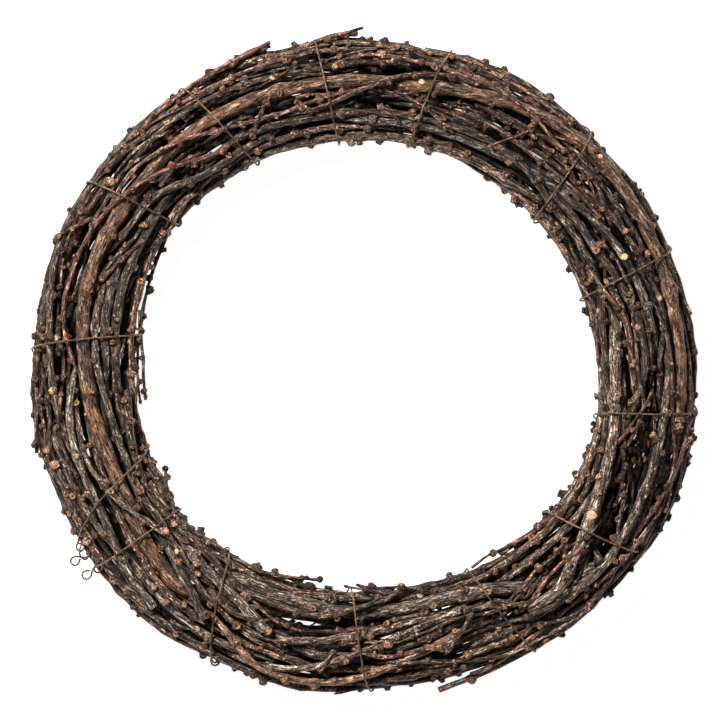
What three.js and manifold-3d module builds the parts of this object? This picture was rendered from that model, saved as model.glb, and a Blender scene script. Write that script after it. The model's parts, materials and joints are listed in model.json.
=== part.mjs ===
// A wreath of bare, knobby twigs, wound into a ring and bound with one thin wire.
//
// The ring lies flat: X and Y span it, Z is its thickness, and it rests on three spur knobs at z = 0.
// Every stem is laid out on stations, which are half planes through the ring's axis at even angles.
// In a station the middle of a stem has two coordinates, both from the ring's middle line: u, outward,
// and v, upward. The stems are pushed apart there until none touches another, as they lie when packed.

import * as THREE from "three";
import { mergeVertices } from "three/addons/utils/BufferGeometryUtils.js";
import Module from "manifold-3d";

const wasm = await Module();
wasm.setup();

// The ring and its bundle of stems, in millimetres
const MIDDLE_RADIUS = 147.5;
const HALF_WIDTH = 26.9;
const HALF_HEIGHT = 19.5;
const CLEARANCE = 0.4; // between two stems that lie against each other

const SEED = 8;

// Stations, in degrees
const STATION_STEP = 10;
const STATION_COUNT = 360 / STATION_STEP;

// The ring isn't quite round: the bundle's middle strays from the circle [degrees, millimetres outward]
const SWAYS = [
  [0, 2], [18, -1.2], [45, -2.2], [80, -0.6], [120, 1.7], [145, 1.8], [170, -0.2], [195, 1.6],
  [215, 3.9], [250, 0], [283, -4.3], [300, -2], [335, 5.4], [360, 2],
];

// Where the bundle is loosest, it is this much wider to either side
const BULGE_AT = 168;
const BULGE = 2.3;
const BULGE_REACH = 16;

// What each kind of stem looks like, and how readily it gives way to a neighbour
const KINDS = {
  vine: { sides: 8, give: 0.12, pull: 0.3, colour: 0x7d624e },
  cane: { sides: 6, give: 0.5, pull: 0.14, colour: 0x5c5048 },
  twig: { sides: 5, give: 1, pull: 0.1, colour: 0x43362f },
  red_twig: { sides: 5, give: 1, pull: 0.1, colour: 0x78473a },
};

// Stems that show on the front. Each has its kind, its radii at its two ends, the degrees that it runs
// on unseen before and after its route (0 is a cut end or a tip), its layer (1 passes over its
// neighbours), and its route: degrees round the ring, and millimetres outward of the middle line.
const SHOWN = [
  {
    kind: "vine", radii: [3.3, 4.3], hidden: [0, 45], layer: 0,
    route: [
      [-10, 19.5], [0, 18.2], [12, 17.3], [30, 18.4], [45, 17.3], [54, 15.3], [66, 7], [77, 1.8],
      [97, 2.1], [110, 4], [124, 4.7], [145, 2.6], [165, 2.8], [180, -1], [190, -4], [200, -6],
      [213, -5.5], [221, -2], [229, 3.5],
    ],
  },
  {
    kind: "vine", radii: [3.7, 3.6], hidden: [110, 0], layer: 0,
    route: [[241, -20], [252, -18], [280, -19], [290, -18], [300, -13], [310, 3], [319, 16]],
  },
  {
    kind: "vine", radii: [3.2, 3.3], hidden: [0, 110], layer: 1,
    route: [
      [304, 7.5], [309, 9], [315, 4], [320, -0.4], [326, -4.3], [335, -9], [350, -13.2], [360, -16],
    ],
  },
  {
    kind: "cane", radii: [2.8, 2.5], hidden: [70, 60], layer: 0,
    route: [[140, -3], [150, -4.6], [160, -6.5], [170, -8], [180, -11]],
  },
  {
    kind: "cane", radii: [2.2, 2.5], hidden: [60, 80], layer: 0,
    route: [[140, -11], [150, -12], [160, -13.3], [170, -15.8], [180, -18]],
  },
  {
    kind: "cane", radii: [2.3, 2.4], hidden: [70, 60], layer: 0,
    route: [[0, 3], [10, -1], [20, -8], [30, -13], [40, -14]],
  },
  {
    kind: "cane", radii: [2.4, 2.2], hidden: [60, 50], layer: 0,
    route: [[10, 9], [20, 3], [30, -3], [40, -11], [50, -15], [60, -17], [75, -18], [95, -19]],
  },
  {
    kind: "cane", radii: [2.5, 2.6], hidden: [80, 70], layer: 0,
    route: [[50, -24], [60, -25], [75, -25], [95, -26], [105, -25], [115, -24], [125, -22]],
  },
  {
    kind: "cane", radii: [1.9, 2.1], hidden: [60, 60], layer: 0,
    route: [[112, -18], [120, -17], [130, -16], [137, -11], [141, -3], [145, -1], [150, -3]],
  },
  {
    kind: "cane", radii: [2, 2.1], hidden: [60, 60], layer: 0,
    route: [[168, -1], [175, -6], [180, -10], [190, -13], [200, -14.5], [210, -13], [218, -12]],
  },
  {
    kind: "cane", radii: [1.9, 2], hidden: [50, 70], layer: 0,
    route: [[150, 26], [160, 25], [165, 22], [172, 18], [178, 16], [190, 15]],
  },
  {
    kind: "cane", radii: [1.5, 1.6], hidden: [80, 60], layer: 1,
    route: [[198, 11], [203, 7], [213, -3], [219, -8], [224, -12]],
  },
  {
    kind: "cane", radii: [1.8, 2.4], hidden: [90, 0], layer: 0,
    route: [[190, 10], [200, 8], [210, 8], [218, 11], [224, 16], [229, 20]],
  },
  {
    kind: "cane", radii: [2.1, 2.2], hidden: [60, 70], layer: 0,
    route: [[224, 13], [232, 15], [240, 17]],
  },
  {
    kind: "cane", radii: [2.4, 2.3], hidden: [120, 0], layer: 1,
    route: [[220, -8], [227, -3], [233, 3], [238, 10]],
  },
  {
    kind: "cane", radii: [2.6, 2.8], hidden: [130, 0], layer: 1,
    route: [[232, -15], [240, -10], [245, -4], [250, 2]],
  },
  {
    kind: "cane", radii: [1.6, 2.1], hidden: [60, 0], layer: 1,
    route: [[258, 19], [262, 12], [266, 6], [275, -6], [285, -12], [292, -12], [300, -4], [303, 2]],
  },
  {
    kind: "cane", radii: [2.2, 2.3], hidden: [70, 50], layer: 0,
    route: [[247, 8], [257, 2], [262, -2], [268, -7], [272, -9], [285, -14]],
  },
  {
    kind: "cane", radii: [1.7, 2.2], hidden: [0, 100], layer: 0,
    route: [[283, 28.5], [290, 25.5], [300, 24.5], [310, 27], [320, 29.5]],
  },
  {
    kind: "cane", radii: [2.2, 2.2], hidden: [70, 50], layer: 0,
    route: [[310, 12], [315, 15], [320, 16.5], [330, 14.3], [340, 13], [350, 13], [360, 12]],
  },
  {
    kind: "cane", radii: [2.5, 2.8], hidden: [60, 60], layer: 0,
    route: [[262, 12], [268, 7], [275, 2], [282, -2], [290, -5]],
  },
  {
    kind: "twig", radii: [1.9, 1.9], hidden: [110, 0], layer: 0,
    route: [[0, -6], [10, -6.5], [14, -7.5], [20, -11]],
  },
  {
    kind: "twig", radii: [1.4, 1.1], hidden: [90, 0], layer: 0,
    route: [[12.5, -11], [23, -18.5]],
  },
  {
    kind: "twig", radii: [1.4, 1.5], hidden: [70, 70], layer: 1,
    route: [[70, 14], [76, 13], [82, 6], [88, -2], [94, -8], [100, -14], [106, -19]],
  },
  {
    kind: "twig", radii: [1.4, 1.1], hidden: [80, 50], layer: 0,
    route: [[70, -15], [76, -9], [84, -4]],
  },
  {
    kind: "twig", radii: [1.5, 1.7], hidden: [80, 70], layer: 0,
    route: [[85, 16], [92, 11], [97, 8], [105, 9], [112, 14], [120, 15], [135, 18]],
  },
  {
    kind: "twig", radii: [1.1, 1.4], hidden: [20, 90], layer: 0,
    route: [[150, -14], [158, -8], [162, -2]],
  },
  {
    kind: "twig", radii: [1.5, 1.2], hidden: [120, 0], layer: 0,
    route: [[182, 20], [188, 26], [195, 32]],
  },
  {
    kind: "twig", radii: [1.5, 1.6], hidden: [70, 70], layer: 1,
    route: [[230, -9], [235, -4], [240, 3], [245, 9]],
  },
  {
    kind: "twig", radii: [0.8, 1.4], hidden: [0, 110], layer: 0,
    route: [[207, -30], [214, -24]],
  },
  {
    kind: "twig", radii: [1.3, 0.9], hidden: [110, 0], layer: 0,
    route: [[245, -27], [252, -31], [258, -32]],
  },
  {
    kind: "twig", radii: [0.9, 1.3], hidden: [0, 110], layer: 0,
    route: [[268, -31], [275, -28], [285, -26]],
  },
  {
    kind: "twig", radii: [1.3, 1.6], hidden: [0, 100], layer: 1,
    route: [[302, 14], [306, 20], [310, 24], [315, 27]],
  },
  {
    kind: "twig", radii: [1.5, 1.7], hidden: [60, 80], layer: 0,
    route: [[6, 14], [16, 12], [26, 8], [34, 4], [42, 0], [50, -4], [60, -8]],
  },
  {
    kind: "twig", radii: [1.4, 1.6], hidden: [60, 80], layer: 0,
    route: [[16, 14.5], [26, 12], [36, 9], [44, 7], [52, 5], [60, 2]],
  },
  {
    kind: "red_twig", radii: [1.1, 1.3], hidden: [0, 90], layer: 0,
    route: [[32, -1], [39, -3.5], [46, -9], [55, -5], [60, -4]],
  },
  {
    kind: "red_twig", radii: [1.1, 1.2], hidden: [70, 60], layer: 1,
    route: [[40, 7], [48, 6], [54, 9], [60, 11], [68, 13], [77, 13], [85, 18], [92, 20]],
  },
  {
    kind: "red_twig", radii: [1.1, 1.4], hidden: [0, 70], layer: 1,
    route: [
      [88, -1], [95, -7], [105, -13], [112, -11], [120, -5], [125, 1], [130, 8], [135, 14],
      [139, 15], [143, 12], [148, 9],
    ],
  },
  {
    kind: "red_twig", radii: [1.1, 1.4], hidden: [0, 90], layer: 0,
    route: [[90, 31.5], [94, 28], [100, 22], [110, 21]],
  },
  {
    kind: "red_twig", radii: [1.1, 1.4], hidden: [0, 100], layer: 0,
    route: [[106, 30], [110, 26], [120, 25]],
  },
  {
    kind: "red_twig", radii: [1.2, 1.4], hidden: [0, 100], layer: 0,
    route: [[93, 20], [105, 19], [115, 18]],
  },
  {
    kind: "red_twig", radii: [1.2, 1.4], hidden: [0, 80], layer: 1,
    route: [[123, -12], [130, -8], [137, -1], [141, 4], [145, 9], [150, 11], [160, 15], [170, 17]],
  },
  {
    kind: "red_twig", radii: [1.6, 2.1], hidden: [60, 60], layer: 1,
    route: [
      [236, 2], [240, 8], [246, 14], [251, 20], [255, 22.5], [262, 21], [268, 19], [273, 16],
      [277, 10], [281, 3], [286, -3],
    ],
  },
  {
    kind: "red_twig", radii: [1.1, 1.3], hidden: [70, 70], layer: 0,
    route: [[330, 21], [340, 25], [350, 26]],
  },
  {
    kind: "red_twig", radii: [1, 1.3], hidden: [0, 90], layer: 1,
    route: [[344, 25], [350, 14], [358, 13], [366, 12]],
  },
  {
    kind: "red_twig", radii: [1, 1.2], hidden: [60, 80], layer: 0,
    route: [[343, -8], [350, 0]],
  },
  {
    kind: "red_twig", radii: [1.2, 1.4], hidden: [0, 70], layer: 0,
    route: [[289, 24], [300, 19.5], [310, 22.3], [324, 21], [330, 23], [340, 27]],
  },
];

// Stems that fill the rest of the bundle: how many, of which kind, where round the ring they start, how
// long they are, and where they lie in the section (0 degrees is the outer edge, 90 the top, 180 the
// inner edge, 270 the underside)
const FILLING = [
  { kind: "twig", count: 2, start: [165, 255], arc: [270, 330], around: [15, 165], out: [0.62, 0.88] },
  { kind: "twig", count: 5, start: [0, 360], arc: [290, 330], around: [-25, 25], out: [1, 1] },
  { kind: "twig", count: 5, start: [0, 360], arc: [290, 330], around: [155, 205], out: [1, 1] },
];
const FILLER_RADII = [1.7, 2.3];
const BURIED_AROUND = [165, 375];
const BURIED_OUT = [0.6, 1];
const DRIFT = [-0.25, 0.25]; // turn round the section for each degree round the ring
const WAVE = [10, 25]; // and to and fro, in degrees
const DIVE = 26; // degrees that a shown stem takes to sink out of sight
const LONGEST_ARC = 335;

// How the stems settle against one another
const ROUNDS = 700;
const LAST_ROUNDS = 200; // of those, the rounds in which the stems only move apart
const BURIED_PULL = 0.006;
const FILLING_PULL = 0.03;
const STRAIGHTEN = 0.12;
const LAYER_LIFT = 3;

// The binding wire: its front passes in order, each as the degrees at the outer and the inner edge
const WIRE_RADIUS = 0.5;
const WIRE_GAP = 0.3;
const WIRE_SIDES = 3;
const WIRE_PASSES = [
  [217, 218], [212, 200], [177.5, 171.5], [146.5, 142], [123.7, 117], [99, 96], [74.3, 79],
  [45.8, 39.5], [20.8, 16.5], [-7.5, -12.5], [-33.7, -39.5], [-59, -63.5], [-88.5, -93.5],
  [-117, -127],
];
const WIRE_SLACK = 8; // how far outside the bundle it starts, before it is drawn tight
const WIRE_FRONT_STEPS = 8;
const WIRE_BACK_STEPS = 7;
const WIRE_END = -146; // where the wire comes out at the outer edge after its last pass underneath
const WIRE_END_OUT = 2; // from the edge of the bundle to the start of a curl
const CURL_RADIUS = 3.2;
const CURL_STEPS = 7;
const CURL_TURN = 50; // degrees from one point of a curl to the next
const CURL_RISE = 0.35; // millimetres up at each of those points
const WIRE_ROUNDS = 400;
const WIRE_LAST_ROUNDS = 120; // of those, the rounds in which it is only pushed clear
const WIRE_PULL = 0.25;
const WIRE_PINCH = 0.05; // share of its size that the bundle gives up under the wire
const WIRE_PINCH_REACH = 6;

// Spur knobs, the short side shoots that stand out of every stem: narrow at the root, blunt at the tip
const KNOB_COUNT = 290;
const KNOB_TRIES = 20000;
const KNOB_HEIGHT = [1.9, 2.9];
const KNOB_TIP_RADIUS = [1.5, 2];
const KNOB_TIP_SHARE = 1.3; // of its stem's radius at most
const KNOB_ROOT_SHARE = 0.42; // of the width of the side that it grows from, to either side
const KNOB_PLACE = [0.25, 0.75]; // as a share of the way from one station to the next
const KNOB_LEAN = 0.25; // how far it leans along its stem
const KNOB_GAP = 0.25;
const KNOB_SPACING = 6;
const KNOB_DROP = 1; // how far below the lowest stem one may reach
const SHORTEST_KNOBBED_PIECE = 14;

// The three knobs that the wreath rests on
const FOOT_ANGLES = [90, 210, 330];
const FOOT_RADIUS = 2.2;
const FOOT_SIDES = 6;
const FOOT_DROP = 0.8; // below everything else
const FOOT_PLACES = [0.2, 0.35, 0.5, 0.65, 0.8]; // as a share of the way from one station to the next

const radians = THREE.MathUtils.degToRad;
const smooth = (t) => THREE.MathUtils.smoothstep(t, 0, 1);
const mix = THREE.MathUtils.lerp;

// Seeded random numbers from 0 to 1
function randomFrom(seed) {
  let state = seed;
  return () => {
    state = (state + 0x6d2b79f5) | 0;
    let t = Math.imul(state ^ (state >>> 15), 1 | state);
    t = (t + Math.imul(t ^ (t >>> 7), 61 | t)) ^ t;
    return ((t ^ (t >>> 14)) >>> 0) / 4294967296;
  };
}
const random = randomFrom(SEED);
const between = ([low, high]) => mix(low, high, random());

// Smallest angle from one direction to another, in degrees
const turnTo = (from, to) => ((((to - from) % 360) + 540) % 360) - 180;
const bump = (angle, at, reach) => Math.exp(-((turnTo(at, angle) / reach) ** 2));
const wrap = (station) => ((station % STATION_COUNT) + STATION_COUNT) % STATION_COUNT;

const halfWidthAt = (angle) => HALF_WIDTH + BULGE * bump(angle, BULGE_AT, BULGE_REACH);

function swayAt(angle) {
  const at = ((angle % 360) + 360) % 360;
  const k = SWAYS.findIndex(([end]) => end > at);
  const [a, outA] = SWAYS[k - 1];
  const [b, outB] = SWAYS[k];
  return mix(outA, outB, smooth((at - a) / (b - a)));
}

// Share of its full size that the bundle keeps at this angle
function girthAt(angle) {
  const passes = WIRE_PASSES.map(([outer, inner]) => bump(angle, (outer + inner) / 2, WIRE_PINCH_REACH));
  return 1 - WIRE_PINCH * Math.min(1, Math.max(...passes));
}

// Height of a stem's middle when it lies on the front of the bundle, so far from the bundle's middle
function frontHeight(out, radius, layer) {
  const across = Math.min(1, Math.abs(out) / (HALF_WIDTH - radius + 2));
  return (HALF_HEIGHT - radius) * Math.sqrt(1 - across ** 2) + layer * LAYER_LIFT;
}

// How far out a route runs at an angle. Where it ends free, its last stretch is run on straight.
function alongRoute(route, angle, free) {
  const last = route.length - 1;
  if (angle <= route[0][0] && !free[0]) return route[0][1];
  if (angle >= route[last][0] && !free[1]) return route[last][1];
  const next = route.findIndex(([at]) => at > angle);
  const k = next < 0 ? last : Math.max(next, 1);
  const [a, ua] = route[k - 1];
  const [b, ub] = route[k];
  return mix(ua, ub, (angle - a) / (b - a));
}

// A stem's points at its stations, with where each one wants to be and how strongly
function makeStem(kind, from, to, radii, wantedAt) {
  const first = Math.floor(from / STATION_STEP);
  const count = Math.ceil(to / STATION_STEP) - first + 1;
  const points = Array.from({ length: count }, (_, k) => {
    const angle = (first + k) * STATION_STEP;
    const radius = mix(radii[0], radii[1], THREE.MathUtils.clamp((angle - from) / (to - from), 0, 1));
    const wanted = wantedAt(angle, radius);
    return { ...wanted, radius, wantedU: wanted.u, wantedV: wanted.v };
  });
  return { kind, from, to, first, points, turn: random() * Math.PI };
}

// A path inside the bundle that drifts slowly round its section
function driftingPath(around, out) {
  const start = between(around);
  const share = between(out);
  const drift = between(DRIFT);
  const wave = between(WAVE);
  const phase = random() * 360;
  return (angle, radius) => {
    const at = radians(start + drift * (angle - 180) + wave * Math.sin(radians(2 * angle + phase)));
    const girth = girthAt(angle);
    return {
      u: swayAt(angle) + share * (halfWidthAt(angle) * girth - radius) * Math.cos(at),
      v: share * (HALF_HEIGHT * girth - radius) * Math.sin(at),
    };
  };
}

function shownStem({ kind, radii, hidden, layer, route }) {
  const start = route[0][0];
  const end = route[route.length - 1][0];
  const free = hidden.map((degrees) => degrees === 0);
  const buried = driftingPath(BURIED_AROUND, BURIED_OUT);
  return makeStem(kind, start - hidden[0], end + hidden[1], radii, (angle, radius) => {
    const past = Math.max(free[0] ? 0 : start - angle, free[1] ? 0 : angle - end, 0);
    const unseen = smooth(past / DIVE);
    const u = alongRoute(route, angle, free);
    const deep = buried(angle, radius);
    return {
      u: mix(u, deep.u, unseen),
      v: mix(frontHeight(u - swayAt(angle), radius, layer), deep.v, unseen),
      pull: mix(KINDS[kind].pull, BURIED_PULL, unseen),
      shown: unseen === 0,
    };
  });
}

function fillingStem({ kind, start, arc, around, out }) {
  const from = between(start);
  const path = driftingPath(around, out);
  return makeStem(kind, from, from + between(arc), [between(FILLER_RADII), between(FILLER_RADII)],
    (angle, radius) => ({ ...path(angle, radius), pull: FILLING_PULL, shown: false }));
}

const stems = SHOWN.map(shownStem);
for (const group of FILLING) {
  for (let i = 0; i < group.count; i++) stems.push(fillingStem(group));
}
for (const stem of stems) {
  if (stem.to - stem.from > LONGEST_ARC) throw new Error("a stem is too long to stay one arc");
}

// The stretches of stem that share each interval between two stations
const intervals = Array.from({ length: STATION_COUNT }, () => []);
for (const stem of stems) {
  for (let k = 0; k + 1 < stem.points.length; k++) {
    const { give } = KINDS[stem.kind];
    intervals[wrap(stem.first + k)].push({ a: stem.points[k], b: stem.points[k + 1], give });
  }
}

// Moves two stretches apart where they come closest in the interval that they share
function keepApart(one, two) {
  const au = one.a.u - two.a.u;
  const av = one.a.v - two.a.v;
  const bu = one.b.u - two.b.u - au;
  const bv = one.b.v - two.b.v - av;
  const length = bu * bu + bv * bv;
  const t = length > 0 ? THREE.MathUtils.clamp(-(au * bu + av * bv) / length, 0, 1) : 0;
  const need = mix(one.a.radius, one.b.radius, t) + mix(two.a.radius, two.b.radius, t) + CLEARANCE;
  const u = au + t * bu;
  const v = av + t * bv;
  const distance = Math.hypot(u, v) || 1e-6;
  if (distance >= need) return 0;
  const share = (need - distance) / distance / ((one.give + two.give) * ((1 - t) ** 2 + t ** 2));
  for (const [side, sign] of [[one, 1], [two, -1]]) {
    const move = sign * side.give * share;
    side.a.u += move * (1 - t) * u;
    side.a.v += move * (1 - t) * v;
    side.b.u += move * t * u;
    side.b.v += move * t * v;
  }
  return need - distance;
}

// Draws a point that strays out of the bundle back to its edge
function holdIn(point, angle) {
  const girth = girthAt(angle);
  const halfWidth = halfWidthAt(angle) * girth - point.radius;
  const halfHeight = HALF_HEIGHT * girth - point.radius;
  const middle = swayAt(angle);
  const out = Math.hypot((point.u - middle) / halfWidth, point.v / halfHeight);
  if (out <= 1) return;
  const back = 0.5 * (1 / out - 1);
  if (!point.shown) point.u += (point.u - middle) * back;
  point.v += point.v * back;
}

function settle() {
  for (let round = 0; round < ROUNDS; round++) {
    const last = round >= ROUNDS - LAST_ROUNDS;
    for (const stem of stems) {
      const { points } = stem;
      points.forEach((point, k) => {
        if (last) return;
        const before = points[k - 1];
        const after = points[k + 1];
        if (before && after) {
          point.u += STRAIGHTEN * ((before.u + after.u) / 2 - point.u);
          point.v += STRAIGHTEN * ((before.v + after.v) / 2 - point.v);
        }
        point.u += point.pull * (point.wantedU - point.u);
        point.v += point.pull * (point.wantedV - point.v);
        holdIn(point, (stem.first + k) * STATION_STEP);
      });
    }
    let worst = 0;
    for (const stretches of intervals) {
      for (let i = 0; i < stretches.length; i++) {
        for (let j = 0; j < i; j++) worst = Math.max(worst, keepApart(stretches[i], stretches[j]));
      }
    }
    if (last && worst < CLEARANCE / 20) break;
  }
}
settle();

function place(angle, u, v) {
  const reach = MIDDLE_RADIUS + u;
  return new THREE.Vector3(reach * Math.cos(radians(angle)), reach * Math.sin(radians(angle)), v);
}

// Share of the straight way from one point to another at which it meets the half plane at an angle
function shareAt(angle, a, angleA, b, angleB) {
  const toA = Math.hypot(a.x, a.y) * Math.sin(radians(angle - angleA));
  const toB = Math.hypot(b.x, b.y) * Math.sin(radians(angleB - angle));
  return toA / (toA + toB);
}

// The rings of points round a stem, one at each station, with the end rings drawn in to its true ends
function stemRings(stem) {
  const { sides } = KINDS[stem.kind];
  const rings = stem.points.map((point, k) => {
    const angle = (stem.first + k) * STATION_STEP;
    return Array.from({ length: sides }, (_, side) => {
      const at = stem.turn + (side * 2 * Math.PI) / sides;
      return place(angle, point.u + point.radius * Math.cos(at), point.v + point.radius * Math.sin(at));
    });
  });
  const last = rings.length - 1;
  const angles = rings.map((_, k) => (stem.first + k) * STATION_STEP);
  const cut = (k, l, angle) => rings[k].map((point, side) => {
    const other = rings[l][side];
    return point.clone().lerp(other, shareAt(angle, point, angles[k], other, angles[l]));
  });
  const start = cut(0, 1, stem.from);
  const end = cut(last, last - 1, stem.to);
  rings[0] = start;
  rings[last] = end;
  return rings;
}

// A closed tube over rings of points, with flat ends, and with a knob on some of its sides
function tubeGeometry(rings, knobs = []) {
  const sides = rings[0].length;
  const points = rings.flat();
  const index = [];
  for (let k = 0; k + 1 < rings.length; k++) {
    for (let side = 0; side < sides; side++) {
      const a = k * sides + side;
      const b = k * sides + ((side + 1) % sides);
      const knob = knobs.find((one) => one.k === k && one.side === side);
      if (knob) addKnob(knob, [a, a + sides, b + sides, b], points, index);
      else index.push(a, a + sides, b, b, a + sides, b + sides);
    }
  }
  const end = (rings.length - 1) * sides;
  for (let side = 1; side + 1 < sides; side++) {
    index.push(0, side, side + 1, end, end + side + 1, end + side);
  }
  const geometry = new THREE.BufferGeometry().setFromPoints(points);
  geometry.setIndex(index);
  return geometry;
}

// Opens one side of a tube, whose corners are a, d, c and b, round a three-sided root, and closes the
// knob's walls and its flat tip over it
function addKnob({ root, tip }, [a, d, c, b], points, index) {
  const p = points.length;
  points.push(...root, ...tip);
  index.push(b, a, p + 2, p + 2, a, p, c, b, p + 2, p + 1, c, p + 2, d, c, p + 1, p, d, p + 1, a, d, p);
  for (let k = 0; k < 3; k++) {
    const next = (k + 1) % 3;
    index.push(p + k, p + next, p + 3 + next, p + k, p + 3 + next, p + 3 + k);
  }
  index.push(p + 3, p + 4, p + 5);
}

function toSolid(geometry) {
  const bare = geometry.clone();
  bare.deleteAttribute("normal");
  bare.deleteAttribute("uv");
  const merged = mergeVertices(bare, 1e-4);
  return new wasm.Manifold(
    new wasm.Mesh({
      numProp: 3,
      vertProperties: Float32Array.from(merged.attributes.position.array),
      triVerts: Uint32Array.from(merged.index.array),
    }),
  );
}

function fromSolid(solid) {
  const { vertProperties, triVerts } = solid.getMesh();
  const geometry = new THREE.BufferGeometry();
  geometry.setAttribute("position", new THREE.BufferAttribute(Float32Array.from(vertProperties), 3));
  geometry.setIndex(new THREE.BufferAttribute(Uint32Array.from(triVerts), 1));
  return geometry;
}

// The middle line of a stem in space, cut at its true ends
function middleLine(stem) {
  const line = stem.points.map(({ u, v }, k) => place((stem.first + k) * STATION_STEP, u, v));
  const last = line.length - 1;
  const angle = (k) => (stem.first + k) * STATION_STEP;
  const cut = (k, l, at) =>
    line[k].clone().lerp(line[l], shareAt(at, line[k], angle(k), line[l], angle(l)));
  const start = cut(0, 1, stem.from);
  const end = cut(last, last - 1, stem.to);
  line[0] = start;
  line[last] = end;
  return line;
}

// Closest points of two straight pieces, as shares of each
function closestShares(a, b, c, d) {
  const first = b.clone().sub(a);
  const second = d.clone().sub(c);
  const offset = a.clone().sub(c);
  const aa = first.lengthSq();
  const bb = second.lengthSq();
  const ab = first.dot(second);
  const ao = first.dot(offset);
  const bo = second.dot(offset);
  const square = aa * bb - ab * ab;
  const limit = (t) => THREE.MathUtils.clamp(t, 0, 1);
  let s = square > 1e-9 ? limit((ab * bo - ao * bb) / square) : 0;
  const t = bb > 1e-9 ? limit((ab * s + bo) / bb) : 0;
  s = aa > 1e-9 ? limit((ab * t - ao) / aa) : 0;
  return [s, t];
}

// Every straight piece of every stem, sorted by the interval that it lies in
const pieces = Array.from({ length: STATION_COUNT }, () => []);
for (const stem of stems) {
  stem.line = middleLine(stem);
  stem.rings = stemRings(stem);
  stem.knobs = [];
  stem.feet = [];
  for (let k = 0; k + 1 < stem.line.length; k++) {
    const radii = [stem.points[k].radius, stem.points[k + 1].radius];
    pieces[wrap(stem.first + k)].push({ stem, from: stem.line[k], to: stem.line[k + 1], radii });
  }
}

// The stem pieces that a stretch between two angles could meet
function piecesNear(low, high) {
  const near = new Set();
  for (let angle = low - STATION_STEP / 2; angle < high + STATION_STEP; angle += STATION_STEP / 2) {
    near.add(wrap(Math.floor(angle / STATION_STEP)));
  }
  return [...near].flatMap((interval) => pieces[interval]);
}

// The wire's points: it goes over the front from the outer edge to the inner one, then back underneath
function wirePoints() {
  const points = [];
  const add = (angle, around) => {
    const halfWidth = HALF_WIDTH + WIRE_SLACK;
    const halfHeight = HALF_HEIGHT + WIRE_SLACK;
    points.push({
      angle,
      u: swayAt(angle) + halfWidth * Math.cos(radians(around)),
      v: halfHeight * Math.sin(radians(around)),
    });
  };
  WIRE_PASSES.forEach(([outer, inner], pass) => {
    for (let k = 0; k < WIRE_FRONT_STEPS; k++) {
      const t = k / WIRE_FRONT_STEPS;
      add(mix(outer, inner, t), 180 * t);
    }
    const next = WIRE_PASSES[pass + 1]?.[0] ?? WIRE_END;
    const target = inner + turnTo(inner, next);
    for (let k = 0; k < WIRE_BACK_STEPS; k++) {
      const t = k / WIRE_BACK_STEPS;
      add(mix(inner, target, smooth(t)), 180 + 180 * t);
    }
  });
  add(WIRE_END, 0);
  for (const end of [points[0], points[points.length - 1]]) {
    end.u = swayAt(end.angle) + HALF_WIDTH + WIRE_END_OUT;
  }
  return points;
}

// The small curl that each end of the wire is turned into, outside the bundle
function curl(from, away) {
  const out = new THREE.Vector3(from.x, from.y, 0).normalize();
  const side = new THREE.Vector3(-out.y, out.x, 0).multiplyScalar(away);
  const middle = from.clone().addScaledVector(out, CURL_RADIUS);
  return Array.from({ length: CURL_STEPS }, (_, k) => {
    const at = radians(180 + CURL_TURN * (k + 1));
    return middle
      .clone()
      .addScaledVector(out, CURL_RADIUS * Math.cos(at))
      .addScaledVector(side, CURL_RADIUS * Math.sin(at))
      .setZ(from.z + CURL_RISE * (k + 1));
  });
}

// Draws the wire tight round the bundle, clear of every stem
function tightenWire(points) {
  const near = points.slice(1).map((point, k) => {
    const angles = [points[k].angle, point.angle];
    return piecesNear(Math.min(...angles), Math.max(...angles));
  });
  for (let round = 0; round < WIRE_ROUNDS; round++) {
    if (round < WIRE_ROUNDS - WIRE_LAST_ROUNDS) {
      for (let k = 1; k + 1 < points.length; k++) {
        points[k].u += WIRE_PULL * ((points[k - 1].u + points[k + 1].u) / 2 - points[k].u);
        points[k].v += WIRE_PULL * ((points[k - 1].v + points[k + 1].v) / 2 - points[k].v);
      }
    }
    for (let k = 0; k + 1 < points.length; k++) {
      const one = points[k];
      const two = points[k + 1];
      for (const { from, to, radii } of near[k]) {
        const a = place(one.angle, one.u, one.v);
        const b = place(two.angle, two.u, two.v);
        const [s, t] = closestShares(a, b, from, to);
        const apart = a.lerp(b, s).sub(from.clone().lerp(to, t));
        const need = mix(radii[0], radii[1], t) + WIRE_RADIUS + WIRE_GAP;
        const distance = apart.length();
        if (distance >= need) continue;
        const angle = radians(mix(one.angle, two.angle, s));
        const push = (need - distance) / distance / ((1 - s) ** 2 + s ** 2);
        const outward = (apart.x * Math.cos(angle) + apart.y * Math.sin(angle)) * push;
        one.u += (1 - s) * outward;
        one.v += (1 - s) * apart.z * push;
        two.u += s * outward;
        two.v += s * apart.z * push;
      }
    }
  }
}

// A thin tube along a line of points
function wireGeometry(line) {
  const rings = line.map((point, k) => {
    const before = line[Math.max(k - 1, 0)];
    const after = line[Math.min(k + 1, line.length - 1)];
    const along = after.clone().sub(before).normalize();
    return { point, along };
  });
  let side = new THREE.Vector3(0, 0, 1).cross(rings[0].along).normalize();
  return tubeGeometry(rings.map(({ point, along }) => {
    side = side.clone().addScaledVector(along, -side.dot(along)).normalize();
    const other = along.clone().cross(side);
    return Array.from({ length: WIRE_SIDES }, (_, k) => {
      const at = (-k * 2 * Math.PI) / WIRE_SIDES;
      return point
        .clone()
        .addScaledVector(side, WIRE_RADIUS * Math.cos(at))
        .addScaledVector(other, WIRE_RADIUS * Math.sin(at));
    });
  }));
}

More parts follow.
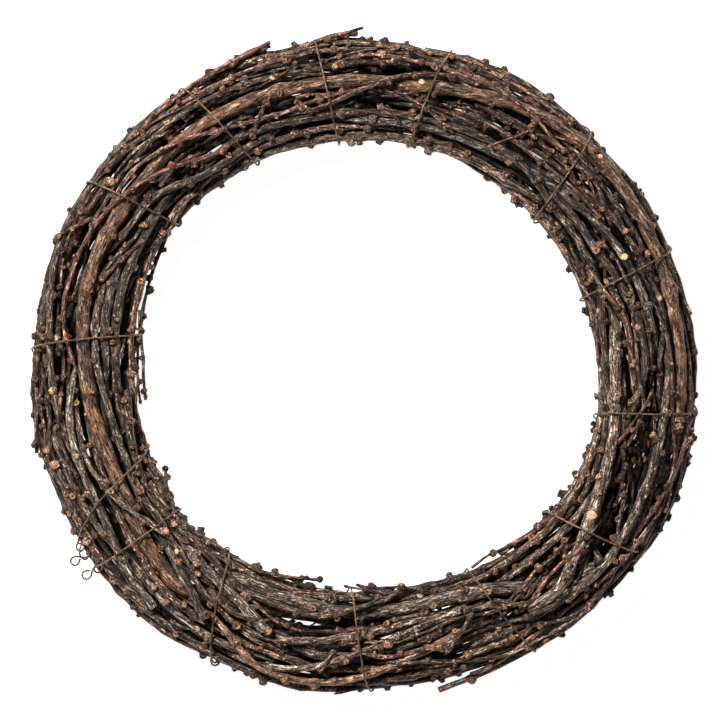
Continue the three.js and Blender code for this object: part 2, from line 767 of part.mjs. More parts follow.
// The least room that a short shoot leaves to the other stems, the wire and the other shoots
function roomFor(stem, shoot, line, shoots) {
  const angle = THREE.MathUtils.radToDeg(Math.atan2(shoot.base.y, shoot.base.x));
  let room = Infinity;
  const measure = (from, to, radiusAt) => {
    const [s, t] = closestShares(shoot.base, shoot.end, from, to);
    const apart = shoot.base.clone().lerp(shoot.end, s).distanceTo(from.clone().lerp(to, t));
    room = Math.min(room, apart - shoot.radius - radiusAt(t));
  };
  for (const piece of piecesNear(angle, angle)) {
    if (piece.stem !== stem) measure(piece.from, piece.to, (t) => mix(...piece.radii, t));
  }
  for (let k = 0; k + 1 < line.length; k++) measure(line[k], line[k + 1], () => WIRE_RADIUS);
  for (const other of shoots) measure(other.base, other.end, () => other.radius + KNOB_SPACING);
  return room;
}

// A knob on one side of a stem: three points round its root, which lie in that side, and three round
// its tip
function knobOn(rings, stemRadius, k, side) {
  const next = (side + 1) % rings[k].length;
  const [a, b, c, d] = [rings[k][side], rings[k][next], rings[k + 1][next], rings[k + 1][side]];
  const share = between(KNOB_PLACE);
  const left = a.clone().lerp(d, share);
  const right = b.clone().lerp(c, share);
  const base = left.clone().lerp(right, 0.5);
  const across = right.sub(left);
  const width = across.length();
  const along = d.clone().sub(a).normalize();
  across.divideScalar(width);
  const outward = along.clone().cross(across).normalize();
  const corners = (middle, radius) => [[-0.5, -0.8], [1, 0], [-0.5, 0.8]].map(([forward, aside]) =>
    middle.clone().addScaledVector(along, radius * forward).addScaledVector(across, radius * aside));
  const radius = Math.min(between(KNOB_TIP_RADIUS), KNOB_TIP_SHARE * stemRadius);
  const leaning = outward.addScaledVector(along, between([-KNOB_LEAN, KNOB_LEAN]));
  const end = base.clone().addScaledVector(leaning, between(KNOB_HEIGHT));
  const root = corners(base, (width * KNOB_ROOT_SHARE) / 0.8);
  return { k, side, base, end, radius, root, tip: corners(end, radius) };
}

// Spur knobs stand out of the stems all round, wherever there is room for one
function growKnobs(lowest, line, feet) {
  const knobs = [];
  for (let attempt = 0; attempt < KNOB_TRIES && knobs.length < KNOB_COUNT; attempt++) {
    const stem = stems[Math.floor(random() * stems.length)];
    const k = Math.floor(random() * LONGEST_ARC / STATION_STEP);
    const side = Math.floor(random() * KINDS[stem.kind].sides);
    if (k > stem.line.length - 2) continue;
    if (stem.line[k].distanceTo(stem.line[k + 1]) < SHORTEST_KNOBBED_PIECE) continue;
    if (stem.knobs.some((one) => one.k === k && one.side === side)) continue;
    const knob = knobOn(stem.rings, stem.points[k].radius, k, side);
    if (knob.end.z - knob.radius < lowest) continue;
    if (roomFor(stem, knob, line, [...feet, ...knobs]) < KNOB_GAP) continue;
    stem.knobs.push(knob);
    knobs.push(knob);
  }
  return knobs;
}

// A six-sided stub that stands straight down from a stem's middle line to the floor
function footGeometry({ base, end, radius }) {
  const geometry = new THREE.CylinderGeometry(radius, radius, base.z - end.z, FOOT_SIDES);
  return geometry.rotateX(Math.PI / 2).translate(base.x, base.y, (base.z + end.z) / 2);
}

// Knobs at three places round the ring that reach straight down to the surface it lies on
function growFeet(floor, line) {
  return FOOT_ANGLES.map((angle) => {
    const places = piecesNear(angle, angle).flatMap(({ stem, from, to }) =>
      FOOT_PLACES.map((share) => {
        const base = from.clone().lerp(to, share);
        return { stem, base, end: base.clone().setZ(floor), radius: FOOT_RADIUS };
      }));
    places.sort((one, two) => one.base.z - two.base.z);
    const foot = places.find((one) => roomFor(one.stem, one, line, []) > KNOB_GAP);
    if (!foot) throw new Error(`no room for a foot at ${angle} degrees`);
    foot.stem.feet.push(foot);
    return foot;
  });
}

const wire = wirePoints();
tightenWire(wire);
const wound = wire.map(({ angle, u, v }) => place(angle, u, v));
const wireLine = [...curl(wound[0], -1).reverse(), ...wound, ...curl(wound[wound.length - 1], 1)];

const lowestStem = Math.min(...pieces.flat().map(({ from, radii }) => from.z - radii[0]));
const lowestWire = Math.min(...wireLine.map((point) => point.z)) - WIRE_RADIUS;
const lowest = Math.min(lowestStem - KNOB_DROP, lowestWire);
const floor = lowest - FOOT_DROP;
const feet = growFeet(floor, wireLine);
growKnobs(lowest, wireLine, feet);

// The finished wreath, with the middle of its outline over the origin and its feet at z = 0
const wreath = new THREE.Group();
const counts = {};
for (const stem of stems) {
  const { colour } = KINDS[stem.kind];
  counts[stem.kind] = (counts[stem.kind] ?? 0) + 1;
  const tube = toSolid(tubeGeometry(stem.rings, stem.knobs));
  const solid = stem.feet.reduce((grown, foot) => grown.add(toSolid(footGeometry(foot))), tube);
  const material = new THREE.MeshStandardMaterial({ color: colour, roughness: 0.9 });
  const mesh = new THREE.Mesh(fromSolid(solid), material);
  mesh.name = `${stem.kind}_${String(counts[stem.kind]).padStart(2, "0")}`;
  wreath.add(mesh);
}
const wireMaterial = new THREE.MeshStandardMaterial({ color: 0x4a3a30, roughness: 0.6, metalness: 0.7 });
const wireMesh = new THREE.Mesh(wireGeometry(wireLine), wireMaterial);
wireMesh.name = "binding_wire";
wreath.add(wireMesh);

const middle = new THREE.Box3().setFromObject(wreath).getCenter(new THREE.Vector3());
const toTenth = (length) => Math.round(10 * length) / 10;
wreath.position.set(-toTenth(middle.x), -toTenth(middle.y), -floor);

export default wreath;
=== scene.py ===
# %% [markdown]
# # A wreath of bare twigs, bound with wire
#
# The real wreath is a ring of cut vines, canes and knobby twigs. Someone bent them round by hand while
# they were green, laid one bunch over the next, and wound one thin iron wire round the whole bundle.
# The solid model already holds the 59 main stems at their place and thickness, each as a faceted tube.
# This script puts a living stem over each of them: a smooth bend, rough bark, buds, spurs and cut ends.
# Then it adds what is too fine for the solid model.
#
# We begin by loading the solid model. Nothing in it is moved. It is the frame that all pieces follow.

import json
import math
import random

import bpy
import numpy as np
from mathutils import Matrix, Vector, noise
from mathutils.kdtree import KDTree


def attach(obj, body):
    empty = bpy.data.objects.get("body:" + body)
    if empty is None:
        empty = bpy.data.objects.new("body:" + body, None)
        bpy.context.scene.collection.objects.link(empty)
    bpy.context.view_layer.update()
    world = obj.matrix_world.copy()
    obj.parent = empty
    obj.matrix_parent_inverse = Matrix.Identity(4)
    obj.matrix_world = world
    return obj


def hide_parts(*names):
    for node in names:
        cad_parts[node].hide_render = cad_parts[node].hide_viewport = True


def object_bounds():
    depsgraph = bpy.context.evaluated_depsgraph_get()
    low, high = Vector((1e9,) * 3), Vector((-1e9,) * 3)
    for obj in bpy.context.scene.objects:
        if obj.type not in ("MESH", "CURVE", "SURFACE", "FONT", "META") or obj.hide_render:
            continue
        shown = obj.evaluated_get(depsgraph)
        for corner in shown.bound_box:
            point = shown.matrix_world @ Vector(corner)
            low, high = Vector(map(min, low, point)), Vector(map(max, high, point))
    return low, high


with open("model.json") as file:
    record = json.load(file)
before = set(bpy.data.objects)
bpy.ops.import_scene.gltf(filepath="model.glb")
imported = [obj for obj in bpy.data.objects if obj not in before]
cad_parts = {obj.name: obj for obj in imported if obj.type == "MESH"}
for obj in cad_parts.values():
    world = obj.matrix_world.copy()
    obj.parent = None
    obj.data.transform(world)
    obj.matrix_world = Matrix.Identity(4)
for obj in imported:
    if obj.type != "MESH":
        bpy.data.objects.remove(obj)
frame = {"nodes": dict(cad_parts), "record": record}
cad_low, cad_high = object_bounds()
bpy.ops.object.select_all(action="DESELECT")

MM = 0.001
SEED = 7
chance = random.Random(SEED)
print("solid model:", len(frame["nodes"]), "pieces,", [round(v / MM, 1) for v in cad_high - cad_low], "mm")

# %% [markdown]
# ## Where the ring lies
#
# Every place on a wreath is easy to say in ring terms: an angle round the ring, how far out from the
# middle of the bundle, and a height. The hole's box in the record has the ring's centre as its own.

# %% The ring's centre
hole_low, hole_high = frame["record"]["physics"]["openings"][0]["box_m"]
RING_X = (hole_low[0] + hole_high[0]) / 2
RING_Y = (hole_low[1] + hole_high[1]) / 2
BUNDLE_RADIUS = 147.5 * MM  # from the ring's centre to the middle of the bundle


def around(angle, out, height):
    """The point at an angle round the ring in degrees, so far out from the middle of the bundle."""
    turn = math.radians(angle)
    reach = BUNDLE_RADIUS + out
    return Vector((RING_X + reach * math.cos(turn), RING_Y + reach * math.sin(turn), height))


def ring_angle(points):
    """The angle round the ring of each point, in degrees."""
    points = np.atleast_2d(points)
    return np.degrees(np.arctan2(points[:, 1] - RING_Y, points[:, 0] - RING_X)) % 360


def ring_out(points):
    """How far out from the middle of the bundle each point lies."""
    points = np.atleast_2d(points)
    return np.hypot(points[:, 0] - RING_X, points[:, 1] - RING_Y) - BUNDLE_RADIUS


MID_HEIGHT = 21 * MM  # of the bundle
EYE_FAR = 1.9035  # metres from there up to the camera, which looks straight down


def as_seen(points):
    """Where points show in the picture, at the bundle's middle height. Low wood shows nearer the centre."""
    centre = np.array((RING_X, RING_Y))
    points = np.atleast_2d(points)
    return centre + (points[:, :2] - centre) * (EYE_FAR / (EYE_FAR + MID_HEIGHT - points[:, 2]))[:, None]


print("ring centre:", round(RING_X / MM, 2), round(RING_Y / MM, 2), "mm")

# %% [markdown]
# ## Reading a stem from its solid
#
# Each solid stem is a tube whose sections all stand square to the ring, like slices of a cake. So the
# corners of one section share one angle round the ring. Grouping the corners by that angle gives back
# the sections, and their middles and sizes are the line and the girth that the bark must follow.
# We could also have typed the routes in again, but then the two models could drift apart.

# %% Sections of a stem
SAME_PLACE = 7  # corners that agree to this many decimals of a metre are one
SAME_ANGLE = 0.002  # degrees
FEWEST_CORNERS = 4
ANGLE_SHIFT = 5  # so that no section lies at the jump from 360 to 0


def mesh_corners(mesh):
    """The places of a mesh's corners, one row each."""
    flat = np.zeros(len(mesh.vertices) * 3)
    mesh.vertices.foreach_get("co", flat)
    return flat.reshape(-1, 3)


def corners_of(node):
    """Each corner of a solid piece once. Its loose triangles repeat them."""
    return np.unique(np.round(mesh_corners(frame["nodes"][node].data), SAME_PLACE), axis=0)


def read_sections(node):
    """The middles and girths of a stem's sections in order, and the corners that belong to no section."""
    corners = corners_of(node)
    angles = (ring_angle(corners) + ANGLE_SHIFT) % 360
    order = np.argsort(angles)
    corners, angles = corners[order], angles[order]
    groups = np.split(np.arange(len(angles)), np.flatnonzero(np.diff(angles) > SAME_ANGLE) + 1)
    sections = [g for g in groups if len(g) >= FEWEST_CORNERS]
    loose = [corners[g] for g in groups if len(g) < FEWEST_CORNERS]
    at = np.array([angles[g].mean() for g in sections])
    gaps = np.diff(np.append(at, at[0] + 360))
    first = (int(np.argmax(gaps)) + 1) % len(sections)
    sections = sections[first:] + sections[:first]
    middles = np.array([corners[g].mean(axis=0) for g in sections])
    girths = np.array([np.linalg.norm(corners[g] - m, axis=1).mean() for g, m in zip(sections, middles)])
    return middles, girths, np.concatenate(loose) if loose else np.zeros((0, 3))


print("sections of the first vine:", len(read_sections("vine_01")[0]))

# %% [markdown]
# ## A smooth line through the sections
#
# Wood that was bent green has no corners. A cubic curve passes through the middles of all sections,
# and it is cut into short, even steps. A slow, small wander is added, since no twig is a drawn arc.

# %% Smooth lines
FEWEST_POINTS = 4
AXIS_APART = 37.3  # between the stretches of noise that drive x, y and z
NOISE_SLICE = 0.5  # between whole numbers, at which this noise is nought


def smooth_line(middles, girths, step):
    """Points every step along a smooth curve through the middles, and the girth at each."""
    along = np.append(0, np.cumsum(np.linalg.norm(np.diff(middles, axis=0), axis=1)))
    slopes = np.gradient(middles, along, axis=0)
    count = max(FEWEST_POINTS, int(round(along[-1] / step)) + 1)
    s = np.linspace(0, along[-1], count)
    k = np.clip(np.searchsorted(along, s, side="right") - 1, 0, len(along) - 2)
    span = along[k + 1] - along[k]
    t = ((s - along[k]) / span)[:, None]
    line = (
        (2 * t**3 - 3 * t**2 + 1) * middles[k]
        + (t**3 - 2 * t**2 + t) * slopes[k] * span[:, None]
        + (3 * t**2 - 2 * t**3) * middles[k + 1]
        + (t**3 - t**2) * slopes[k + 1] * span[:, None]
    )
    return line, np.interp(s, along, girths)


def lengths_along(line):
    """How far along a line each of its points lies."""
    return np.append(0, np.cumsum(np.linalg.norm(np.diff(line, axis=0), axis=1)))


def wander(line, wave, amount, where):
    """The line with a slow sideways drift. where picks another stretch of the same noise."""
    drift = [[noise.noise((s / wave, where + AXIS_APART * axis, NOISE_SLICE)) for axis in range(3)]
             for s in lengths_along(line)]
    return line + np.array(drift) * amount


corner = np.array(((0, 0, 0), (10, 0, 0), (10, 10, 0))) * MM
print("a bend through a corner of 20 mm:",
      round(lengths_along(smooth_line(corner, np.full(len(corner), MM), MM)[0])[-1] / MM, 1), "mm long")

# %% [markdown]
# ## The kinds of stem
#
# Four sorts of wood are in the bundle: stout vines, canes, thin dark twigs and thin reddish twigs. The
# finest twigs, dark and reddish ones too, are added here. Each kind has its own number of sides, how
# rough its bark stands, how far apart its buds sit and which finish it wears. One table of kinds keeps
# these choices in one place. The few stems that differ from their kind are named below it.

# %% Kinds of stem
KINDS = {
    "vine": {"slot": "vine_bark", "sides": 14, "step": 1.1 * MM, "rough": 0.13, "wander": 0.30 * MM,
             "bud_gap": (30, 75), "bud_size": (1.7, 2.3)},
    "cane": {"slot": "cane_bark", "sides": 10, "step": 1.1 * MM, "rough": 0.18, "wander": 0.35 * MM,
             "bud_gap": (18, 44), "bud_size": (1.6, 2.2)},
    "twig": {"slot": "twig_bark", "sides": 8, "step": 1.15 * MM, "rough": 0.22, "wander": 0.45 * MM,
             "bud_gap": (11, 26), "bud_size": (1.35, 2.1)},
    "red_twig": {"slot": "red_bark", "sides": 8, "step": 1.1 * MM, "rough": 0.18, "wander": 0.45 * MM,
                 "bud_gap": (9, 22), "bud_size": (1.1, 1.7)},
    "fine_twig": {"slot": "twig_bark", "sides": 8, "step": 1.3 * MM, "rough": 0.20, "wander": 0.40 * MM,
                  "bud_gap": (9, 22), "bud_size": (1.05, 1.6)},
    "fine_red_twig": {"slot": "red_bark", "sides": 8, "step": 1.3 * MM, "rough": 0.18, "wander": 0.40 * MM,
                      "bud_gap": (9, 20), "bud_size": (1.0, 1.5)},
}
WANDER_WAVE = 24 * MM
# stems whose bark is of another sort than their thickness tells
OTHER_BARK = {"vine_02": "cane_bark", "vine_03": "cane_bark"}
# a reddish stem that has weathered to tan
OTHER_FINISH = {"red_twig_08": "vine_bark"}
DARK_MANY = 1.6  # above 1, dark stems are more common than pale ones

# how pale and how warm the stems are that stand out by their colour, from 0 to 1
SEEN_TONES = {
    "vine_01": (0.28, 0.50), "vine_02": (0.40, 0.40), "vine_03": (0.80, 0.45), "cane_13": (0.80, 0.25),
    "cane_14": (0.85, 0.40), "cane_09": (0.75, 0.75), "cane_16": (0.75, 0.80), "twig_01": (0.95, 0.95),
    "red_twig_08": (0.95, 0.45),
}

NOISE_FIELD = 900  # each stem reads the noise at its own place in a field this long


def new_stem(name, kind, line, girth):
    """A stem's record: its line, its girths, its knobs and all that its finish needs to know."""
    tone, warmth = SEEN_TONES.get(name, (chance.random() ** DARK_MANY, chance.random()))
    slot = OTHER_BARK.get(name, KINDS[kind]["slot"])
    return {"name": name, "kind": kind, "slot": slot, "finish": OTHER_FINISH.get(name, slot), "line": line,
            "girth": girth, "buds": [], "tip_bud": False, "tone": tone, "warmth": warmth,
            "where": chance.uniform(0, NOISE_FIELD)}


BARE_SHARE = 0.93  # of the solid's girth, since the bark's relief and the swellings add to it
stems, solid_knobs = [], {}
for node in sorted(frame["nodes"]):
    kind = node.rsplit("_", 1)[0]
    if kind not in KINDS:
        continue
    middles, girths, loose = read_sections(node)
    line, girth = smooth_line(middles, girths * BARE_SHARE, KINDS[kind]["step"])
    stem = new_stem(node, kind, line, girth)
    stem["line"] = wander(line, WANDER_WAVE, KINDS[kind]["wander"], stem["where"])
    stems.append(stem)
    solid_knobs[node] = loose
print("stems read:", len(stems), "length in all:",
      round(sum(lengths_along(s["line"])[-1] for s in stems), 2), "m")

# %% [markdown]
# ## How much room is there?
#
# Buds and shoots that chance sets may only grow where there is space between the stems. A KD tree is a
# quick index of points in space. It holds a sample of every stem's line, so the nearest wood to any
# place is found at once. With its help the wire is pushed out of the stems, too.

# %% Room between the stems
SAMPLE_EVERY = 2
REACH = 9 * MM  # farther than the thickest stem and a bud together


class Thicket:
    """The stems placed so far, as samples of their lines."""

    def __init__(self, stems):
        self.stems = list(stems)
        rows = [(p, g, n) for n, s in enumerate(self.stems)
                for p, g in list(zip(s["line"], s["girth"]))[::SAMPLE_EVERY]]
        self.girths = [g for _, g, _ in rows]
        self.owners = [n for _, _, n in rows]
        self.tree = KDTree(len(rows))
        for k, (p, _, _) in enumerate(rows):
            self.tree.insert(p, k)
        self.tree.balance()

    def room(self, place, besides=None):
        """The distance from a place to the nearest bark, not counting one stem."""
        near = [d - self.girths[k] for _, k, d in self.tree.find_range(place, REACH)
                if self.stems[self.owners[k]] is not besides]
        return min(near, default=REACH)


thicket = Thicket(stems)
EDGE_MARGIN = 0.25 * MM


def inside_box(place, girth):
    """Whether a ball of that girth lies in the solid model's box."""
    keep = girth + EDGE_MARGIN
    return all(cad_low[k] + keep <= place[k] <= cad_high[k] - keep for k in range(3))


print("samples of stems:", len(thicket.girths))

# %% [markdown]
# ## Fine twigs that lie in the valleys
#
# Between the thicker stems the real bundle is filled with finer twigs. Each settles into the valleys
# that its neighbours leave. They could be dropped in a simulation, but that takes long and is hard to
# steer. Here it is done with a map of heights: for each step round the ring and each millimetre across
# the bundle, how high a thin twig would come to rest. The same is done upside down for the back.

# %% A map of where a thin twig rests
ANGLE_STEP = 1.25  # degrees
OUT_STEP = 1 * MM
OUT_LOW, OUT_HIGH = -30 * MM, 31 * MM
STEPS_ROUND = int(360 / ANGLE_STEP)
OUTS = np.arange(OUT_LOW, OUT_HIGH, OUT_STEP)
FINE_GIRTH = 1.0 * MM
NOTHING = -1.0
FRONT, BACK = 1, -1


def rows_for(angles):
    """The map's rows at angles round the ring."""
    return np.round(np.array(angles) / ANGLE_STEP).astype(int) % STEPS_ROUND


def lanes_for(outs):
    """The map's columns at ways out from the middle of the bundle."""
    return np.clip(np.round((np.array(outs) - OUT_LOW) / OUT_STEP).astype(int), 0, len(OUTS) - 1)


def rest_map(stems, side):
    """Height of a thin twig's middle where it rests on the front or, counted downwards, on the back."""
    heights = np.full((STEPS_ROUND, len(OUTS)), NOTHING)
    for stem in stems:
        press_into(heights, stem, side)
    return heights


def press_into(heights, stem, side):
    """Raises the map where one stem lies."""
    rows, outs = rows_for(ring_angle(stem["line"])), ring_out(stem["line"])
    for row, out, height, girth in zip(rows, outs, stem["line"][:, 2] * side, stem["girth"]):
        reach = girth + FINE_GIRTH
        across = OUTS - out
        near = np.abs(across) < reach
        top = height + np.sqrt(reach**2 - across[near] ** 2)
        heights[row, near] = np.maximum(heights[row, near], top)


print("cells of the map:", STEPS_ROUND, "round by", len(OUTS), "across")

# %% [markdown]
# ## The slits between the stems
#
# A real bundle is dense, and only a few slits let the floor show. The solid stems leave many more. So a
# second map holds which cells of the picture are hidden by wood. A fine twig then counts an open cell as
# very low ground, and lies over it. The slits that the photograph does show stay open: each is walled
# in. All could have been closed by more and thicker twigs, but a wreath with no slits looks solid.

# %% A map of what the stems hide
SLACK = 0.2 * MM  # a cell this near a stem's edge still shows some floor


def cover(covered, stem):
    """Marks the cells of the picture's map that one stem hides."""
    rows = rows_for(ring_angle(stem["line"]))
    for row, out, girth in zip(rows, ring_out(as_seen(stem["line"])), stem["girth"]):
        covered[row, np.abs(OUTS - out) < girth - SLACK] = True


WALL = 60 * MM  # height of the ground that no fine twig climbs

# slits where the floor shows through: angle, millimetres out, degrees long, millimetres wide
SEEN_SLITS = (
    (27, 10, 3, 2), (42, 5, 3, 2), (80, -14, 4, 2), (79, -22, 7, 2), (96, -3, 4, 3), (93, -12, 5, 4),
    (97, -21, 18, 4), (109, 23, 5, 2), (125, -7, 3, 3), (130, -6, 3, 2), (152, -20, 3, 3), (188, 23, 3, 2),
    (194, 22, 3, 2), (202, 19, 5, 2), (207, 26, 6, 4), (223, 6, 2, 2), (227, 11, 3, 2), (246, -23, 4, 4),
    (252, -23, 5, 3), (258, -8, 4, 3), (272, -24, 5, 2), (281, 8, 4, 3), (294, -1, 2, 3), (342, -16, 3, 2),
    (351, -18, 6, 3), (7, 11, 2, 2), (213, -20, 3, 2), (236, -17, 3, 3), (287, 23.5, 9, 3),
)


def keep_open():
    """The cells of a map that no fine twig may cover."""
    kept = np.zeros((STEPS_ROUND, len(OUTS)), bool)
    rows_at = np.arange(STEPS_ROUND)[:, None] * ANGLE_STEP
    for angle, out, long, wide in SEEN_SLITS:
        apart = np.abs((rows_at - angle + 180) % 360 - 180)
        kept |= (apart < long / 2) & (np.abs(OUTS[None, :] / MM - out) < wide / 2 + FINE_GIRTH / MM)
    return kept


def between_edges(covered):
    """The cells where a fine twig stays within the outline of the stems."""
    inside = np.zeros(covered.shape, bool)
    for row, wood in zip(inside, covered):
        edges = np.flatnonzero(wood)
        row[edges[0] + 1 : edges[-1]] = True
    return inside


def on_face(picture_map, side):
    """A map of the picture shifted to true places on the front or the back, one cell out or in."""
    return np.roll(picture_map, -side, axis=1)


def open_ground(heights, allowed, side):
    """The map with slits as low ground, and walls wherever a fine twig may not lie."""
    ground = heights.copy()
    ground[ground <= NOTHING] = MID_HEIGHT * side
    ground[~allowed] = WALL
    return ground


def widest_slit(slits):
    """One of the open cells that have the most open cells round them."""
    round_it = sum(np.roll(slits, (a, b), (0, 1)).astype(int) for a in (-1, 0, 1) for b in (-1, 0, 1)) * slits
    places = np.argwhere(round_it == round_it.max())
    return places[chance.randrange(len(places))]


covered = np.zeros((STEPS_ROUND, len(OUTS)), bool)
for stem in stems:
    cover(covered, stem)
allowed = between_edges(covered) & ~keep_open()
print("open cells between the stems:", int((allowed & ~covered).sum()), "slits that stay:", len(SEEN_SLITS))

# %% [markdown]
# ## The way of least effort
#
# The cheapest route over the map of heights, low and without sharp turns, is found step by step from one
# end to the other. It could be drawn by hand for each twig, but a rule finds hundreds in seconds. The
# route only says where the twig lies across the bundle. Its height comes from the map, stiffened, since
# wood bridges over dips.

# %% Routes over the map
SLOPE_COST = 0.35
LANE_COST = 0.004
SLIT_PULL = 12  # millimetres of height that it is worth to lie across an open slit
SIDE_STEPS = (-1, 0, 1)


def cheapest_route(heights, slits, start_row, rows, lane_start, lane_end):
    """The out distances of the lowest gentle route over the map, near a lane from one place to another."""
    lanes = np.linspace(lane_start, lane_end, rows)
    picked = [(start_row + k) % STEPS_ROUND for k in range(rows)]
    ground = heights[picked] / MM - SLIT_PULL * slits[picked]
    ground = ground + LANE_COST * ((OUTS[None, :] - lanes[:, None]) / MM) ** 2
    best, came = ground[0].copy(), []
    for k in range(1, rows):
        options = []
        for side_step in SIDE_STEPS:
            moved = np.roll(best, side_step)
            moved[: max(0, side_step)] = np.inf
            if side_step < 0:
                moved[side_step:] = np.inf
            options.append(moved + SLOPE_COST * abs(side_step))
        options = np.array(options)
        choice = options.argmin(axis=0)
        came.append(choice)
        best = options.min(axis=0) + ground[k]
    at = int(best.argmin())
    cells = [at]
    for choice in reversed(came):
        at = at - SIDE_STEPS[choice[at]]
        cells.append(at)
    return picked, cells[::-1]


def ease(values, rounds):
    """A running average that keeps both ends."""
    values = np.array(values, float)
    for _ in range(rounds):
        values[1:-1] = (values[:-2] + 2 * values[1:-1] + values[2:]) / 4
    return values


STIFFEN_ROUNDS = 12
GIVE = 0.4 * MM  # how far a twig presses in below the height where it would rest, before its last easing


def drape(heights, side, angles, outs):
    """Middles of a twig laid over the bundle at places round it and across it, stiff as wood is."""
    rest = heights[rows_for(angles), lanes_for(outs)]
    known = np.flatnonzero(rest > NOTHING)
    rest = np.interp(np.arange(len(rest)), known, rest[known])
    lie = rest.copy()
    for _ in range(STIFFEN_ROUNDS):
        lie = np.maximum(ease(lie, 2), rest - GIVE)
    lie = ease(lie, 2)
    return np.array([around(a, o, h * side) for a, o, h in zip(angles, outs, lie)])


ROUTE_ROUNDS = 4
LOWEST_TWIG = 3.5 * MM


def lay_twig(ground, slits, side, start, arc, lane_start, lane_end):
    """Middles of a thin twig that lies on the bundle along the cheapest route."""
    rows = max(FEWEST_POINTS, int(arc / ANGLE_STEP))
    picked, cells = cheapest_route(ground, slits, int(start / ANGLE_STEP), rows, lane_start, lane_end)
    rest = np.where(ground < WALL, ground, NOTHING)
    middles = drape(rest, side, np.array(picked) * ANGLE_STEP, ease(OUTS[cells], ROUTE_ROUNDS))
    middles[:, 2] = np.maximum(middles[:, 2], LOWEST_TWIG)
    return middles


ground = rest_map(stems, FRONT)
route = cheapest_route(ground, np.zeros(ground.shape, bool), 0, STEPS_ROUND // 4, 0, 0)[1]
print("a route over a quarter of the front keeps within", round(np.ptp(OUTS[route]) / MM), "mm across")

# %% [markdown]
# ## Laying the fine twigs
#
# A few fine twigs go in front and many behind, where they close slits without hiding the stems that the
# eye knows. Each one raises the map, so the next lies beside it or over it. At the back each goes to the
# widest slit that is left, and the last ones are short. The map is coarse, and each line is eased once
# more in the end, so some twigs sink into what they lie on, a few with nearly their whole thickness.
# They could be pushed out again, as the wire is below. Here they are left as they are.

# %% Lay the fine twigs
FINE_TWIGS = {FRONT: 36, BACK: 150}
FINE_ARC = (16, 60)
FILLER_ARC = (9, 20)  # of the last ones at the back, which close single slits
FILLERS = 70
FINE_LANES = (-25 * MM, 26 * MM)
FINE_DRIFT = 22 * MM
FINE_GIRTHS = {FRONT: (0.85 * MM, 1.5 * MM), BACK: (1.1 * MM, 1.7 * MM)}
TRIED_BESIDE = (-2, -1, 0, 1, 2)  # steps round the ring
THINNER_TIP = 0.72  # girth at a twig's tip, as a share of that at its foot
RED_SHARE = 0.15  # of the fine twigs in front
BARK_MARGIN = 0.3 * MM  # for what the bark adds to a twig's girth
TRIES_EACH = 4


def tapered(count, girth):
    """Girths of a twig from its foot to its tip."""
    return np.linspace(girth, girth * THINNER_TIP, count)


def clear_of_edges(line, girth):
    """Whether a whole twig lies in the solid model's box."""
    return all(inside_box(p, g + BARK_MARGIN) for p, g in zip(line, girth))


fine_twigs = []
tried = np.zeros(allowed.shape, bool)
for side, wanted in FINE_TWIGS.items():
    heights = rest_map(stems, side)
    laid, tries = 0, 0
    while laid < wanted and tries < TRIES_EACH * wanted:
        tries += 1
        lane, start, arc = chance.uniform(*FINE_LANES), chance.uniform(0, 360), chance.uniform(*FINE_ARC)
        lane_end = min(max(lane + chance.uniform(-1, 1) * FINE_DRIFT, FINE_LANES[0]), FINE_LANES[1])
        slits = on_face(allowed & ~covered, side)
        if side == BACK and laid >= wanted - FILLERS:
            arc = chance.uniform(*FILLER_ARC)
        if not (slits & ~tried).any():
            tried[:] = False
        if side == BACK and slits.any():
            row, cell = widest_slit(slits & ~tried)
            tried[[(row + d) % STEPS_ROUND for d in TRIED_BESIDE], cell] = True
            lane, start = OUTS[cell], (row * ANGLE_STEP - arc / 2) % 360
            lane_end = lane
        ground = open_ground(heights, on_face(allowed, side), side)
        middles = lay_twig(ground, slits, side, start, arc, lane, lane_end)
        if chance.random() < 0.5:  # its foot may be at either end
            middles = middles[::-1]
        girths = tapered(len(middles), chance.uniform(*FINE_GIRTHS[side]))
        line, girth = smooth_line(middles, girths, KINDS["fine_twig"]["step"])
        if not clear_of_edges(line, girth):
            continue
        kind = "fine_red_twig" if side == FRONT and chance.random() < RED_SHARE else "fine_twig"
        stem = new_stem(f"fine_{len(fine_twigs) + 1:02d}", kind, line, girth)
        stem["line"] = wander(line, WANDER_WAVE, KINDS["fine_twig"]["wander"], stem["where"])
        stem["tip_bud"] = True
        fine_twigs.append(stem)
        press_into(heights, stem, side)
        cover(covered, stem)
        laid += 1
    print("fine twigs laid on side", side, ":", laid, "after", tries, "tries; cells in slits:",
          int((allowed & ~covered).sum()))

# %% [markdown]
# ## Short twigs that catch the eye
#
# Some short pieces lie across the others, or stand out at an edge: snapped ends, sprigs with a round
# head, thin red shoots. They were read off the photograph one by one, as places in ring terms, and are
# laid on top of what is there. A few more run along the ragged edges, inner and outer. These twigs don't
# raise the map, so where two take the same way they run into one another.

